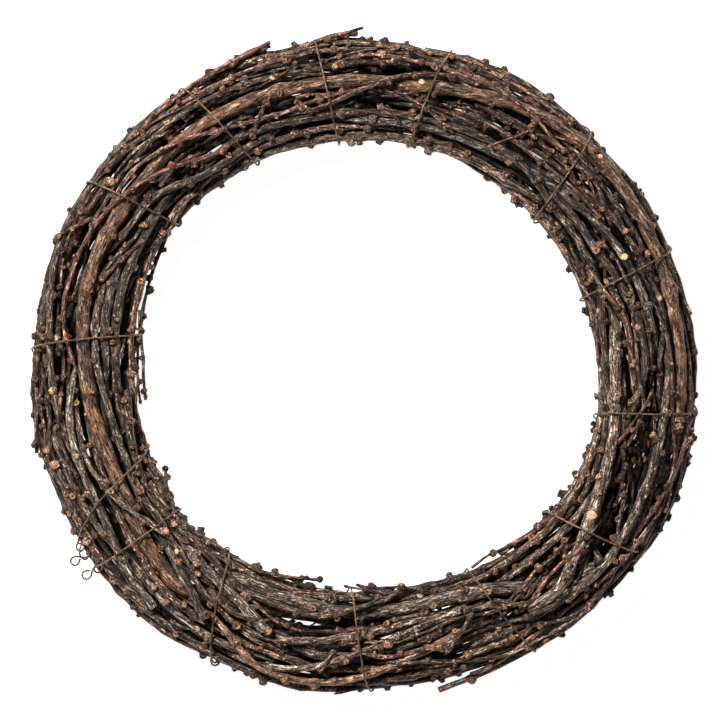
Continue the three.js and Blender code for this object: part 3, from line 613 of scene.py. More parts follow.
# %% Lay the short twigs
# kind, then the places it passes as (angle, millimetres out), its radius in millimetres, tone and warmth
SHORT_TWIGS = (
    ("fine_red_twig", ((46, 14.5), (50.5, 9.5)), 0.9, 0.8, 0.8),
    ("fine_red_twig", ((55, 3), (57, -5), (60, -14)), 0.9, 0.4, 0.6),
    ("fine_twig", ((12.5, -10), (17, -15), (23.5, -18.5)), 1.2, 0.95, 0.95),
    ("fine_red_twig", ((151.5, 14.5), (157, 27.5)), 1.1, 0.6, 0.7),
    ("fine_twig", ((271, 21), (265, 26.5)), 0.6, 0.3, 0.4),
    ("twig", ((285, 10), (289, 3), (293, -5)), 1.5, 0.35, 0.3),
    ("fine_twig", ((105, -2), (102, -10.5)), 1.2, 0.5, 0.5),
    ("fine_twig", ((87.5, -8), (82, -17.5)), 1.0, 0.6, 0.7),
    ("twig", ((9, 27), (13.5, 23)), 1.2, 0.4, 0.5),
    ("twig", ((109.5, 2), (113.8, -8.5)), 1.2, 0.55, 0.6),
    ("fine_twig", ((69, -16.5), (76, -9), (83, -2.5)), 1.1, 0.7, 0.6),
    ("fine_red_twig", ((343, -8.5), (349, -2), (355, 4.6)), 1.0, 0.6, 0.7),
    ("fine_twig", ((213.5, -23.5), (207.3, -29.5)), 0.7, 0.1, 0.4),
    ("fine_twig", ((276, -27), (271, -29.5), (265.5, -31)), 0.9, 0.25, 0.5),
    ("twig", ((261.5, 14.5), (263.8, 4.5)), 1.6, 0.8, 0.6),
    ("twig", ((320.5, 14), (321.8, 6)), 1.8, 0.1, 0.3),
    ("twig", ((316, 3), (317, -3)), 1.4, 0.8, 0.9),
    ("twig", ((299, -7), (303.6, 2.6)), 1.6, 0.9, 0.7),
    ("twig", ((162, -2.5), (157, -8), (151, -14)), 1.4, 0.7, 0.8),
    ("fine_twig", ((138, -21), (158, -26), (178, -28)), 0.8, 0.5, 0.4),
    ("fine_twig", ((148, -23), (168, -28), (189, -28)), 0.9, 0.4, 0.5),
    ("fine_twig", ((166, -26), (178, -31), (188, -31)), 1.0, 0.2, 0.5),
    ("fine_red_twig", ((172, -24), (183, -28.5), (191, -25)), 0.9, 0.3, 0.6),
    ("fine_twig", ((246, -27), (253, -31), (258.5, -32.5)), 0.8, 0.3, 0.5),
    ("twig", ((316, 28), (323, 29), (331, 31.5), (338, 31), (346, 30), (352, 28.5)), 1.3, 0.4, 0.5),
    ("fine_red_twig", ((322, 29.5), (329, 30), (335, 31.8), (342, 31.5), (349, 28.5)), 0.9, 0.3, 0.5),
    ("fine_twig", ((298, -27), (303, -28.5), (309, -26)), 0.9, 0.3, 0.5),
    ("twig", ((324, 28), (331, 29.3), (338, 29.6), (347, 28.4)), 1.5, 0.3, 0.5),
)
SHORT_STEP = 1.5 * MM
FEWEST_STEPS = 6
SHORT_ROUNDS = 3


def lay_along(heights, places):
    """Middles of a twig laid in front of the bundle along places given by angle and way out."""
    angles, outs = np.array(places).T
    long = np.radians(np.ptp(angles)) * BUNDLE_RADIUS + np.ptp(outs) * MM
    at = np.linspace(0, len(places) - 1, max(FEWEST_STEPS, int(long / SHORT_STEP)))
    known = np.arange(len(places))
    outs = ease(np.interp(at, known, outs) * MM, SHORT_ROUNDS)
    return drape(heights, FRONT, np.interp(at, known, angles), outs)


heights = rest_map(stems + fine_twigs, FRONT)
short_twigs = []
for kind, places, radius, tone, warmth in SHORT_TWIGS:
    middles = lay_along(heights, places)
    line, girth = smooth_line(middles, tapered(len(middles), radius * MM), KINDS[kind]["step"])
    stem = new_stem(f"short_{len(short_twigs) + 1:02d}", kind, line, girth)
    stem["tip_bud"], stem["tone"], stem["warmth"] = True, tone, warmth
    short_twigs.append(stem)
print("short twigs:", len(short_twigs))

# %% [markdown]
# ## Side shoots
#
# Twigs of this kind carry short side shoots that end in a bud. Each grows out of its stem at a slant,
# forward or back along it, and only where it has room. They could be set by hand, but chance with a
# test for room spreads them as evenly as growth does.

# %% Grow the side shoots
SHOOTS = 90
SHOOT_LENGTH = (7 * MM, 19 * MM)
SHOOT_SLANT = (10, 34)  # degrees from the stem's own direction
SHOOT_GIRTH = (0.75 * MM, 1.1 * MM)
SHOOT_POINTS = 6
SHOOT_ROOM = 0.5 * MM
SHOOT_TRIES = 30  # for each shoot that is wanted
SHOOTLESS = 8  # points at either end of a stem
SHOOT_FOOT = 0.6  # how far out of the stem's line a shoot starts, in girths
STRAIGHTENS = 0.5  # share of its slant that a shoot loses on its way
SHOOT_HEAD = 1.2 * MM  # room that the bud at its tip needs


def side_of(line, k, turn):
    """The stem's direction at point k, and the direction square to it at an angle round it."""
    ahead = Vector(line[min(k + 1, len(line) - 1)] - line[max(k - 1, 0)]).normalized()
    up = ahead.orthogonal().normalized()
    return ahead, Matrix.Rotation(turn, 3, ahead) @ up


thicket = Thicket(stems + fine_twigs + short_twigs)
shoots = []
tries = 0
while len(shoots) < SHOOTS and tries < SHOOT_TRIES * SHOOTS:
    tries += 1
    host = chance.choice([s for s in stems if s["kind"] != "vine"])
    k = chance.randrange(SHOOTLESS, len(host["line"]) - SHOOTLESS)
    ahead, out = side_of(host["line"], k, chance.uniform(0, 2 * math.pi))
    ahead = ahead * chance.choice((-1, 1))
    slant = math.radians(chance.uniform(*SHOOT_SLANT))
    length = chance.uniform(*SHOOT_LENGTH)
    foot = Vector(host["line"][k]) + out * host["girth"][k] * SHOOT_FOOT
    middles = []
    for n in range(SHOOT_POINTS):
        t = n / (SHOOT_POINTS - 1)
        bend = slant * (1 - STRAIGHTENS * t)
        middles.append(foot + (ahead * math.cos(bend) + out * math.sin(bend)) * length * t)
    girth = chance.uniform(*SHOOT_GIRTH)
    free = [thicket.room(m, host) - girth for m in middles[2:]]
    if min(free) < SHOOT_ROOM or not all(inside_box(m, girth + SHOOT_HEAD) for m in middles):
        continue
    line, girths = smooth_line(np.array(middles), tapered(SHOOT_POINTS, girth), KINDS["fine_twig"]["step"])
    stem = new_stem(f"shoot_{len(shoots) + 1:02d}", "fine_twig", line, girths)
    stem["tip_bud"], stem["slot"], stem["finish"] = True, host["slot"], host["finish"]
    stem["tone"], stem["warmth"] = host["tone"], host["warmth"]
    shoots.append(stem)
print("side shoots:", len(shoots), "after", tries, "tries")

# %% [markdown]
# ## Where the buds and spurs sit
#
# The look of this wood is in its knobs: a blunt bud or the stub of a cut side twig every centimetre or
# two. The solid model holds about 300 of them. They are found again as the corners that stand proud of
# their stem, three to a knob. More are added below: some where the photograph shows them, and the rest
# by chance, each of these turned to where it has room.

# %% Places of the knobs
TIP_CORNERS = 3  # of a knob in the solid model
KNOB_SPAN = 5 * MM  # and these lie closer than this
PROUD = 1.25  # tip corners lie farther from the line than this many girths
SOLE_HEIGHT = 0.01 * MM
SOLID_KNOB = (1.5, 1.9)  # radius in millimetres of the knobs read from the solids


def nearest_on(line, place):
    """Which point of a line is nearest to a place."""
    return int(np.argmin(np.linalg.norm(line - place, axis=1)))


def knobs_of(stem, loose):
    """The tips of a solid stem's knobs."""
    tips = []
    for corner in loose:
        k = nearest_on(stem["line"], corner)
        far = np.linalg.norm(corner - stem["line"][k])
        if far > PROUD * stem["girth"][k] and corner[2] > SOLE_HEIGHT:
            tips.append(corner)
    found = []
    while len(tips) >= TIP_CORNERS:
        first = tips[0]
        tips.sort(key=lambda c: np.linalg.norm(c - first))
        if np.linalg.norm(tips[TIP_CORNERS - 1] - first) < KNOB_SPAN:
            found.append(np.mean(tips[:TIP_CORNERS], axis=0))
            tips = tips[TIP_CORNERS:]
        else:
            tips = tips[1:]
    return found


def set_bud(stem, k, out, size, proud, form=None):
    """Notes a bud on a stem at line point k, facing out."""
    stem["buds"].append({"k": k, "out": Vector(out).normalized(), "size": size, "proud": proud,
                         "form": form or chance.choice(("bud", "bud", "spur"))})


everything = stems + fine_twigs + short_twigs + shoots
thicket = Thicket(everything)
solid_count = 0
for stem in stems:
    for tip in knobs_of(stem, solid_knobs[stem["name"]]):
        k = nearest_on(stem["line"], tip)
        reach = Vector(tip - stem["line"][k])
        size = chance.uniform(*SOLID_KNOB) * MM
        proud = max(reach.length - stem["girth"][k], size)
        set_bud(stem, k, reach, size, proud, chance.choice(("bud", "spur")))
        solid_count += 1
print("knobs from the solids:", solid_count)

# %% [markdown]
# ## Knobs that catch the eye
#
# Some knobs are seen at once: pale heads of fresh cuts, tan and red buds, dark stubs at the edges. Their
# places were read off the photograph, and each is set on the topmost stem there. A ring of evenly
# spread knobs would have been simpler, but the eye knows a wreath by just these spots.

# %% Set the knobs that catch the eye
# angle, millimetres out and width in millimetres of the knobs that stand out, by their look
SEEN_KNOBS = {
    "pale": (
        (22.7, 1.8, 4.5), (13, 12.9, 3), (14.1, 21.8, 2.5), (36, -21, 4.5), (41.6, 19, 3.2), (78.6, 5, 4),
        (68.2, 13.4, 3), (85.2, -1.6, 3), (107.5, 12.3, 3), (91.4, -10.4, 4), (161, 18.4, 3.5),
        (166, 19.3, 3.5), (174.8, 15.7, 4), (189.8, 1.2, 2.2), (226, 23.4, 3), (237.6, 16.8, 3),
        (224.8, -8.8, 3), (262.7, 1.8, 3), (267.3, -13, 5), (292.7, -11, 4), (283.9, -22.7, 4.5),
        (326.8, -3.8, 5.5), (352.7, 0.7, 3), (335.9, -0.7, 3.5), (212, 7.9, 4.5),
    ),
    "tan": (
        (16.1, 22.3, 3), (21.6, 13.4, 4), (29, 15, 3.4), (27.3, 7.9, 3.4), (26.6, -9.9, 4.5),
        (13.2, -19.9, 3), (8.2, -1, 3.5), (31.8, 25.7, 3), (34, 25, 3), (30.2, 22.3, 3), (68.2, 26.2, 4),
        (76.6, 12.9, 4), (84.5, 15.1, 3.5), (86.4, 17.5, 3.5), (78.2, 21.8, 3), (95.5, 11.8, 3.5),
        (98.6, 9.5, 4), (110.2, 0.7, 4), (112.3, 17.3, 3), (128.9, 17.3, 3.5), (143.9, 17.9, 5),
        (136.4, 20.4, 3), (148.1, 7.8, 4), (157, 28, 3.5), (158, 12.1, 3.5), (171.7, 9.3, 3),
        (159.1, -21.6, 3.5), (184.5, 17.3, 4), (197.7, 23.4, 5), (194.8, 25.7, 4), (195.5, 5.3, 3.5),
        (197.4, 11.2, 3), (204, 21.2, 3.5), (206.3, 1.8, 3.5), (212.3, 25.7, 4), (220.5, 26.4, 4),
        (219.8, -11, 4), (219.8, -17.3, 4), (228.2, -14.9, 4), (231.4, -7.1, 3.5), (233, 10.7, 4),
        (235, 25, 3.5), (245.4, 13.4, 4.5), (249.9, 10.7, 3), (250.2, 1.2, 4), (258, -17, 3.5),
        (271.4, -4.9, 5), (275, -0.4, 5), (272, -9.9, 4), (285.5, 19.6, 4), (286.3, -16, 4),
        (272.7, -26.6, 3), (298.9, -11.6, 3.5), (313.6, 26.8, 3), (313.9, 20.9, 3.5), (323.9, 20.4, 3.5),
        (338.6, 6, 4), (327, 7.6, 4), (346.6, 10.1, 4), (349.3, 21.8, 4), (355, 4.6, 4.5),
        (352.7, -13.2, 4.5), (338.9, -15.4, 5), (349, 21.7, 4.5), (202.3, -18.8, 3.5), (87.3, 22.3, 3.5),
    ),
    "red": (
        (53, 19, 4), (54.5, -14.9, 4), (32.3, -1.3, 3.5), (46, 14.5, 3), (91.8, -2, 2.5),
        (151.6, -16.6, 3), (123.2, -11.6, 4), (139.5, 13.4, 3.5), (153.4, 24.6, 3), (173.2, 23.1, 3),
        (188.9, 14, 3), (211, -13.8, 3), (223, 14.6, 4.5), (226.6, -4.9, 4), (311, -6.6, 4),
        (318.9, -6.6, 4), (331, -2.4, 3.5), (344.8, 24.9, 4), (294.8, 7.9, 3.5), (283.4, 14, 2.5),
        (93.2, -30, 4.5), (183.9, -28.8, 4), (190.9, -18, 3.5),
    ),
    "dark": (
        (2.7, -11.5, 5), (6.4, -11.5, 5), (22.3, -12.7, 4.5), (24.8, -21, 4.5), (40.5, -17.7, 5),
        (14, -26, 5), (25.2, -28.5, 4), (46.6, -29, 5.5), (56.8, -28.5, 4), (35, -28, 3),
        (38.9, 15.7, 3.2), (73.2, -28.5, 4.5), (74, -23, 5), (78.4, -27.5, 4), (91.1, -29, 4),
        (103.4, -28, 3.5), (99.5, -4.3, 4.5), (102.3, 28, 3.5), (88.6, 29, 3), (120.9, -25.4, 4),
        (128.2, -26, 3.5), (135.5, -24.5, 3), (142.5, -24.5, 3), (149.5, -27.5, 3), (160.2, -28.5, 4.5),
        (165.9, -4.9, 4), (172.7, -18.2, 4), (184.5, 29, 4), (188.4, 29.5, 3), (134.8, 28.4, 4),
        (152, 30.5, 3), (214, -23.5, 4.5), (225.2, -26, 5), (233.6, -25, 4), (207.3, -29.5, 3),
        (242, -28, 5), (246.6, -29.5, 4.5), (256.1, -27.7, 4.5), (260.9, -28.5, 5), (262.3, -24, 5.5),
        (250.4, 26, 4), (293.2, -5.4, 5), (296.4, 11.2, 5), (283.6, 7.9, 4), (292.5, -29.5, 4),
        (314.5, -14.9, 5), (310.9, -2.7, 5), (320.9, -23.8, 5), (323, -23.2, 3.5), (327.3, -24, 5),
        (345.7, -23.2, 3.5), (347.7, -4.9, 4.5), (347.7, 31.5, 4), (317.3, 30.5, 3.5), (258.4, -32.5, 3),
        (254.8, -32, 2.6), (186.5, -30.5, 3.5), (180.5, -27, 3.5), (178, -30, 3),
    ),
}
# how far the tip's colour shows, how light the knob is and how warm
LOOKS = {"pale": (1, 2.2, 0.6), "tan": (0.9, 0.9, 0.8), "red": (0.4, 0.6, 1), "dark": (0.1, 0.1, 0.3)}
SEEN_PROUD = (0.30, 0.45)  # how far it stands out, as a share of its width
MOST_PROUD = 0.6
OVERREACH = 0.3  # how far a knob beside its place reaches over it, as a share of its width
LEAST_UP = 0.25  # of the girth, so that no knob lies flat on its side
HEAD = 1.1  # how wide a head grows beyond its own size


def set_seen_knob(angle, out, width, look):
    """Sets a knob on the topmost stem at a place, or on the nearest one beside it."""
    spot = np.array(around(angle, out * MM, 0))[:2]
    best = None
    for stem in everything:
        away = np.linalg.norm(as_seen(stem["line"]) - spot, axis=1) - stem["girth"]
        k = int(away.argmin())
        height = stem["line"][k][2] + stem["girth"][k]
        rank = (0, -height) if away[k] < 0 else (1, away[k])
        if best is None or rank < best[0]:
            best = (rank, stem, k, away[k])
    _, stem, k, away = best
    aside = spot - as_seen(stem["line"][k])[0]
    reach = np.linalg.norm(aside)
    girth = stem["girth"][k]
    up = math.sqrt(max(girth**2 - reach**2, (LEAST_UP * girth) ** 2))
    proud = width * MM * chance.uniform(*SEEN_PROUD)
    if away > 0:
        proud = min(max(proud, away + OVERREACH * width * MM), MOST_PROUD * width * MM)
    tip, light, warmth = LOOKS[look]
    form = "bud" if look == "pale" else None
    set_bud(stem, k, (aside[0], aside[1], up), width / 2 * MM / HEAD, proud, form)
    stem["buds"][-1].update(pale=tip, tone=light, warmth=warmth)


for look, places in SEEN_KNOBS.items():
    for angle, out, width in places:
        set_seen_knob(angle, out, width, look)
print("knobs read off the photograph:", sum(len(places) for places in SEEN_KNOBS.values()))

# %% [markdown]
# ## Knobs in between
#
# The stretches that are left get knobs by chance, as far apart as they are on each kind of stem. Each is
# turned till its tip has room. Few are set at the bundle's edges, where they would roughen the outline.

# %% Set knobs by chance
TIP_CLEAR = 0.35 * MM
BUD_TRIES = 9
EDGE_OUTS = (-24 * MM, 24 * MM)  # beyond these a knob shows in the outline
EDGE_SHARE = 0.35  # of the knobs there that are kept
BUD_PROUD = (0.75, 1.45)  # how far a knob stands out, in its own sizes
KNOBLESS = 3  # millimetres at either end of a stem
KNOBS_APART = 5  # millimetres

for stem in everything:
    kind = KINDS[stem["kind"]]
    along = lengths_along(stem["line"]) / MM
    at = chance.uniform(KNOBLESS, kind["bud_gap"][1])
    while at < along[-1] - KNOBLESS:
        k = int(np.searchsorted(along, at))
        at += chance.uniform(*kind["bud_gap"])
        size = chance.uniform(*kind["bud_size"]) * MM
        proud = size * chance.uniform(*BUD_PROUD)
        if any(abs(along[b["k"]] - along[k]) < KNOBS_APART for b in stem["buds"]):
            continue
        for _ in range(BUD_TRIES):
            _, out = side_of(stem["line"], k, chance.uniform(0, 2 * math.pi))
            tip = Vector(stem["line"][k]) + out * (stem["girth"][k] + proud)
            if not EDGE_OUTS[0] < ring_out(tip)[0] < EDGE_OUTS[1] and chance.random() > EDGE_SHARE:
                continue
            if thicket.room(tip, stem) > TIP_CLEAR + size / 2 and inside_box(tip, size):
                set_bud(stem, k, out, size, proud)
                break
print("knobs in all:", sum(len(s["buds"]) for s in everything))

# %% [markdown]
# ## How deep in the bundle?
#
# The stems inside are painted darker, as painted shade: hardly any light comes in there. So each corner
# also gets its depth, the way to the bundle's nearest face, front or back, and the bark's colour darkens
# with it. The two faces are the maps of heights again, with all stems in them, smoothed over a few
# millimetres.

# %% Depth in the bundle
DEEP = 7 * MM  # from here on inwards the bark is at its darkest
FACE_ROUNDS = 3


def face_of_bundle(side):
    """The smoothed height of the bundle's front or back face over the map of places."""
    face = rest_map(everything, side) - FINE_GIRTH
    level = np.median(face[face > NOTHING / 2])
    face = np.where(face > NOTHING / 2, face, level - DEEP)
    for _ in range(FACE_ROUNDS):
        face = (np.roll(face, 1, axis=0) + 2 * face + np.roll(face, -1, axis=0)) / 4
        face[:, 1:-1] = (face[:, :-2] + 2 * face[:, 1:-1] + face[:, 2:]) / 4
    return face


FACES = {side: face_of_bundle(side) for side in (FRONT, BACK)}


def depth_in(points):
    """How far under the nearest face of the bundle points lie, from 0 at the face to 1, for the painted
    shade.
    """
    rows, lanes = rows_for(ring_angle(points)), lanes_for(ring_out(points))
    under = [FACES[side][rows, lanes] - points[:, 2] * side for side in (FRONT, BACK)]
    return np.clip(np.minimum(*under) / DEEP, 0, 1)


depths = [depth_in(stem["line"]).mean() for stem in stems]
print("the stems lie", round(float(np.mean(depths)), 2), "of the full depth down on average")

# %% [markdown]
# ## One stem, from a curve to bark
#
# A curve with a round bevel is the quickest way to a tube with a changing girth: each point has its own
# radius. Once it is a mesh, its corners are moved in and out. Long ridges run with the wood, lumps swell
# and shrink the stem, and it is thicker under each bud. Six values are kept on the mesh for the
# finishes: where each corner is on the unrolled bark, the stem's own tone and warmth, how far a knob's
# pale tip shows, how high the relief is, and how far into the bundle the corner lies. The last two paint
# light and shade into the colour: painted shade in the grooves and farther into the bundle, painted
# light on the ridges.

# %% Curve to tube
def tube(name, line, girth, sides):
    """A closed tube along a line, and for each corner its point on the line and its place round it."""
    bpy.ops.object.select_all(action="DESELECT")
    bpy.ops.curve.primitive_bezier_curve_add()
    curve = bpy.context.object
    curve.name = name
    curve.data.splines.clear()
    spline = curve.data.splines.new("POLY")
    spline.points.add(len(line) - 1)
    spline.points.foreach_set("co", np.column_stack([line, np.ones(len(line))]).ravel())
    spline.points.foreach_set("radius", np.array(girth, float))
    curve.data.dimensions = "3D"
    curve.data.bevel_depth = 1
    curve.data.bevel_resolution = (sides - 4) // 2  # a round bevel has four sides and two for each step
    curve.data.use_fill_caps = True
    bpy.ops.object.convert(target="MESH")
    piece = bpy.context.object
    last = len(line) - 1
    caps = [np.full(sides, last), np.zeros(sides, int)]  # their corners come first
    point = np.concatenate([*caps, np.repeat(np.arange(last + 1), sides)])
    place = np.tile(np.arange(sides), last + 3)
    return piece, point, place


def keep_value(mesh, name, values, kind="FLOAT"):
    """Stores a number or a vector for each corner of the mesh."""
    attribute = mesh.attributes.get(name) or mesh.attributes.new(name, kind, "POINT")
    attribute.data.foreach_set("vector" if kind == "FLOAT_VECTOR" else "value", np.ravel(values))


# %% Bark relief
RIDGE_FINE, RIDGE_LONG = 0.75, 0.13  # ridges per millimetre round the stem and along it
LUMP_FINE, LUMP_LONG = 0.16, 0.075
LUMP_SHARE = 0.8  # of the kind's roughness
LEAST_RELIEF = 0.05 * MM
BARK_TWIST = 0.9  # degrees that the grain turns for each millimetre
NODE_SWELL = 0.20
NODE_SPREAD = 1.5  # girths along the stem
FIELD_SLANT = 0.37  # a stem's place across the noise field, as a share of its place along it


def swollen(stem):
    """The stem's girth with a swelling under each bud."""
    along = lengths_along(stem["line"])
    girth = stem["girth"].copy()
    for bud in stem["buds"]:
        spread = NODE_SPREAD * stem["girth"][bud["k"]]
        girth = girth * (1 + NODE_SWELL * np.exp(-(((along - along[bud["k"]]) / spread) ** 2)))
    return girth


def grow_bark(piece, stem, girth, point, place, sides, rough):
    """Moves the corners of a tube to bark relief, and keeps the values that the finishes read."""
    mesh = piece.data
    corners = mesh_corners(mesh)
    along = lengths_along(stem["line"])[point] / MM
    turn = 2 * math.pi * place / sides + np.radians(BARK_TWIST) * along
    radius = girth[point] / MM
    unrolled = np.column_stack([radius * np.cos(turn), radius * np.sin(turn), along])
    where = Vector((stem["where"], stem["where"] * FIELD_SLANT, 0))
    ridge_scale = Vector((RIDGE_FINE, RIDGE_FINE, RIDGE_LONG))
    lump_scale = Vector((LUMP_FINE, LUMP_FINE, LUMP_LONG))
    ridges = np.array([noise.noise(Vector(u) * ridge_scale + where) for u in unrolled])
    lumps = np.array([noise.noise(Vector(u) * lump_scale - where) for u in unrolled])
    relief = (rough * girth[point] + LEAST_RELIEF) * ridges + LUMP_SHARE * rough * girth[point] * lumps
    outward = corners - stem["line"][point]
    outward /= np.linalg.norm(outward, axis=1)[:, None]
    corners = np.clip(corners + outward * relief[:, None], cad_low, cad_high)
    mesh.vertices.foreach_set("co", corners.ravel())
    keep_value(mesh, "bark", unrolled + np.array(where), "FLOAT_VECTOR")
    keep_value(mesh, "tone", np.full(len(corners), stem["tone"]))
    keep_value(mesh, "warmth", np.full(len(corners), stem["warmth"]))
    keep_value(mesh, "pale", np.zeros(len(corners)))
    # The ridges' height, which the finish also turns into painted shade in the grooves and painted light on
    # the ridges.
    keep_value(mesh, "relief", ridges)
    # Painted shade: the corner's depth in the bundle, by which the finish darkens the bark's colour.
    keep_value(mesh, "shade_depth", depth_in(corners))


# %% [markdown]
# ## Cut ends
#
# Vines and canes end where the cutters went through them, a little aslant. A stem could be bisected by a
# slanted plane, but its round ends are there already. So the last ring of corners is tipped over, and
# the end face wears bare wood. The finest twigs end in a bud, which hides theirs.

# %% Cut the ends
CUT_SLANT = 0.45


def cut_ends(piece, stem, point, place, sides):
    """Tips both end faces of a tube over, and gives them the bare wood finish."""
    mesh = piece.data
    corners = mesh_corners(mesh)
    last = len(stem["line"]) - 1
    for end, inner in ((0, 1), (last, last - 1)):
        ahead = stem["line"][end] - stem["line"][inner]
        ahead /= np.linalg.norm(ahead)
        lean = np.array(Vector(ahead).orthogonal().normalized())
        slant = chance.uniform(-CUT_SLANT, CUT_SLANT)
        rim = point == end
        across = corners[rim] - stem["line"][end]
        back = np.abs(slant) * stem["girth"][end]
        corners[rim] += np.outer(slant * (across @ lean) - back, ahead)
    mesh.vertices.foreach_set("co", corners.ravel())
    for face in mesh.polygons:
        if len(face.vertices) == sides:
            face.material_index = 1


# %% [markdown]
# ## The knobs, modelled once
#
# Two forms cover nearly all of them. A bud is a short neck that swells to a blunt, round head. A spur is
# the stub of a side twig that was snapped off: straight, with a rim and a hollow where the pith was.
# Both start as a short cylinder. Its top face is extruded and scaled ring by ring, as one would by hand.
# They are built one unit in radius, along +Z, with their feet below zero, so that these sink in.

# %% Model a bud and a spur
KNOB_SIDES = 7
BUD_RINGS = ((1.05, 0.30), (1.00, 0.40), (1.02, 0.35), (0.82, 0.30), (0.40, 0.14))  # radius, step up
SPUR_RINGS = ((0.96, 0.50), (0.92, 0.65), (1.00, 0.35), (0.66, 0.05), (0.42, -0.30))
BUD_PALE = (0, 0.1, 0.35, 0.9, 1)  # how far each ring has the tip's colour
SPUR_PALE = (0, 0.1, 0.7, 1, 0.2)
KNOB_FOOT = 0.7  # below the bark
FOOT_FLARE = 1.35


def model_knob(name, rings):
    """A knob of radius 1 along +Z, extruded ring by ring from a short cylinder."""
    bpy.ops.object.select_all(action="DESELECT")
    bpy.ops.mesh.primitive_cylinder_add(vertices=KNOB_SIDES, radius=FOOT_FLARE, depth=KNOB_FOOT,
                                        location=(0, 0, -KNOB_FOOT / 2))
    knob = bpy.context.object
    knob.name = name
    bpy.ops.object.transform_apply(location=True, rotation=True, scale=True)
    bpy.ops.object.mode_set(mode="EDIT")
    bpy.ops.mesh.select_mode(type="FACE")
    bpy.ops.mesh.select_all(action="DESELECT")
    bpy.ops.object.mode_set(mode="OBJECT")
    top = max(knob.data.polygons, key=lambda f: f.center.z)
    top.select = True
    bpy.ops.object.mode_set(mode="EDIT")
    radius = FOOT_FLARE
    for new_radius, up in rings:
        bpy.ops.mesh.extrude_region_move(TRANSFORM_OT_translate={"value": (0, 0, up)})
        share = new_radius / radius
        bpy.ops.transform.resize(value=(share, share, 1))
        radius = new_radius
    bpy.ops.object.mode_set(mode="OBJECT")
    bpy.ops.object.shade_smooth()
    return knob


KNOBS = {"bud": model_knob("bud_pattern", BUD_RINGS), "spur": model_knob("spur_pattern", SPUR_RINGS)}
KNOB_TOPS = {name: max(v.co.z for v in knob.data.vertices) for name, knob in KNOBS.items()}
KNOB_PALE = {"bud": BUD_PALE, "spur": SPUR_PALE}
print("faces of a knob:", {n: len(k.data.polygons) for n, k in KNOBS.items()})

# %% [markdown]
# ## A knob on its stem
#
# No two buds are alike, and a copy is soon spotted. So each copy gets its own mesh, with its corners
# shaken a little, a lean along the stem, a turn and an oval foot. An array or an instance would be
# lighter, but all its knobs would be twins.

# %% Set a knob on its stem
KNOB_JITTER = 0.22
JITTER_RISE = 4  # the foot stays put, and from a quarter of the height up the shake is at its full
KNOB_LEAN = 0.45
KNOB_ROOT = 0.88  # how far out of the stem's line a knob starts, in girths
KNOB_OVAL = (0.85, 1.15)
FULL_TURN = 6.28  # radians
SHAKES = 10**6  # ways to shake a knob
KNOB_FIELD = 500  # each knob reads the noise at its own place in a field this long
PALE_TIPS = 0.55  # share of the knobs with a pale tip
PALE_SHOWS, DULL_SHOWS = (0.6, 1), (0, 0.35)  # how far the tip's colour shows on these and on the others
DARKER_KNOB = 0.7  # a knob's tone as a share of its stem's
LEAST_WARM = 0.4
KNOB_RELIEF = (-0.3, 0.2)
# Painted shade in a spur's hollow, given through its relief value.
HOLLOW_PAINTED_SHADE = -0.9


def place_knob(stem, bud, root_girth):
    """A copy of the bud or the spur with its own mesh, rough shape and place on the stem."""
    pattern = KNOBS[bud["form"]]
    knob = pattern.copy()
    knob.data = pattern.data.copy()
    bpy.context.scene.collection.objects.link(knob)
    mesh = knob.data
    corners = mesh_corners(mesh)
    count = len(corners)
    high = np.clip(corners[:, 2] / KNOB_TOPS[bud["form"]], 0, 1)
    shake = np.random.default_rng(chance.randrange(SHAKES)).uniform(-1, 1, (count, 3))
    corners = corners + shake * KNOB_JITTER * np.clip(high * JITTER_RISE, 0, 1)[:, None]
    ahead, _ = side_of(stem["line"], bud["k"], 0)
    axis = (bud["out"] + ahead * chance.uniform(-KNOB_LEAN, KNOB_LEAN)).normalized()
    turn = axis.to_track_quat("Z", "Y").to_matrix() @ Matrix.Rotation(chance.uniform(0, FULL_TURN), 3, "Z")
    stretch = bud["proud"] / KNOB_TOPS[bud["form"]]
    scale = np.array([bud["size"] * chance.uniform(*KNOB_OVAL), bud["size"], stretch])
    root = Vector(stem["line"][bud["k"]]) + bud["out"] * root_girth * KNOB_ROOT
    corners = (corners * scale) @ np.array(turn).T + np.array(root)
    corners = np.clip(corners, cad_low, cad_high)
    mesh.vertices.foreach_set("co", corners.ravel())
    pale = np.zeros(count)
    pale[2 * KNOB_SIDES :] = np.repeat(KNOB_PALE[bud["form"]], KNOB_SIDES)
    shows = chance.uniform(*(PALE_SHOWS if chance.random() < PALE_TIPS else DULL_SHOWS))
    local = (corners - corners.mean(axis=0)) / MM + chance.uniform(0, KNOB_FIELD)
    keep_value(mesh, "bark", local, "FLOAT_VECTOR")
    warmth = LEAST_WARM + (1 - LEAST_WARM) * stem["warmth"]
    keep_value(mesh, "tone", np.full(count, bud.get("tone", stem["tone"] * DARKER_KNOB)))
    keep_value(mesh, "warmth", np.full(count, bud.get("warmth", warmth)))
    keep_value(mesh, "pale", pale * bud.get("pale", shows))
    # Painted shade by the depth in the bundle, as on the stems.
    keep_value(mesh, "shade_depth", depth_in(corners))
    # On a knob the relief value is a random tone, with painted shade in a spur's hollow.
    hollow = np.arange(count) >= count - KNOB_SIDES if bud["form"] == "spur" else np.zeros(count, bool)
    keep_value(mesh, "relief", np.where(hollow, HOLLOW_PAINTED_SHADE, chance.uniform(*KNOB_RELIEF)))
    return knob


# %% [markdown]
# ## Finishes
#
# Bark is never one colour. Weathered grey-brown fibres run along it, dark cracks lie between them, pale
# flecks show where the skin has lifted, and broad patches drift from grey to red-brown. All of it is
# drawn with noise on the unrolled bark, stretched along the stem, so the grain follows every bend. The
# same noise drives the small relief and the roughness. Over it the colour gets painted shade in the
# grooves of the mesh's relief and farther into the bundle, and painted light on the ridges.

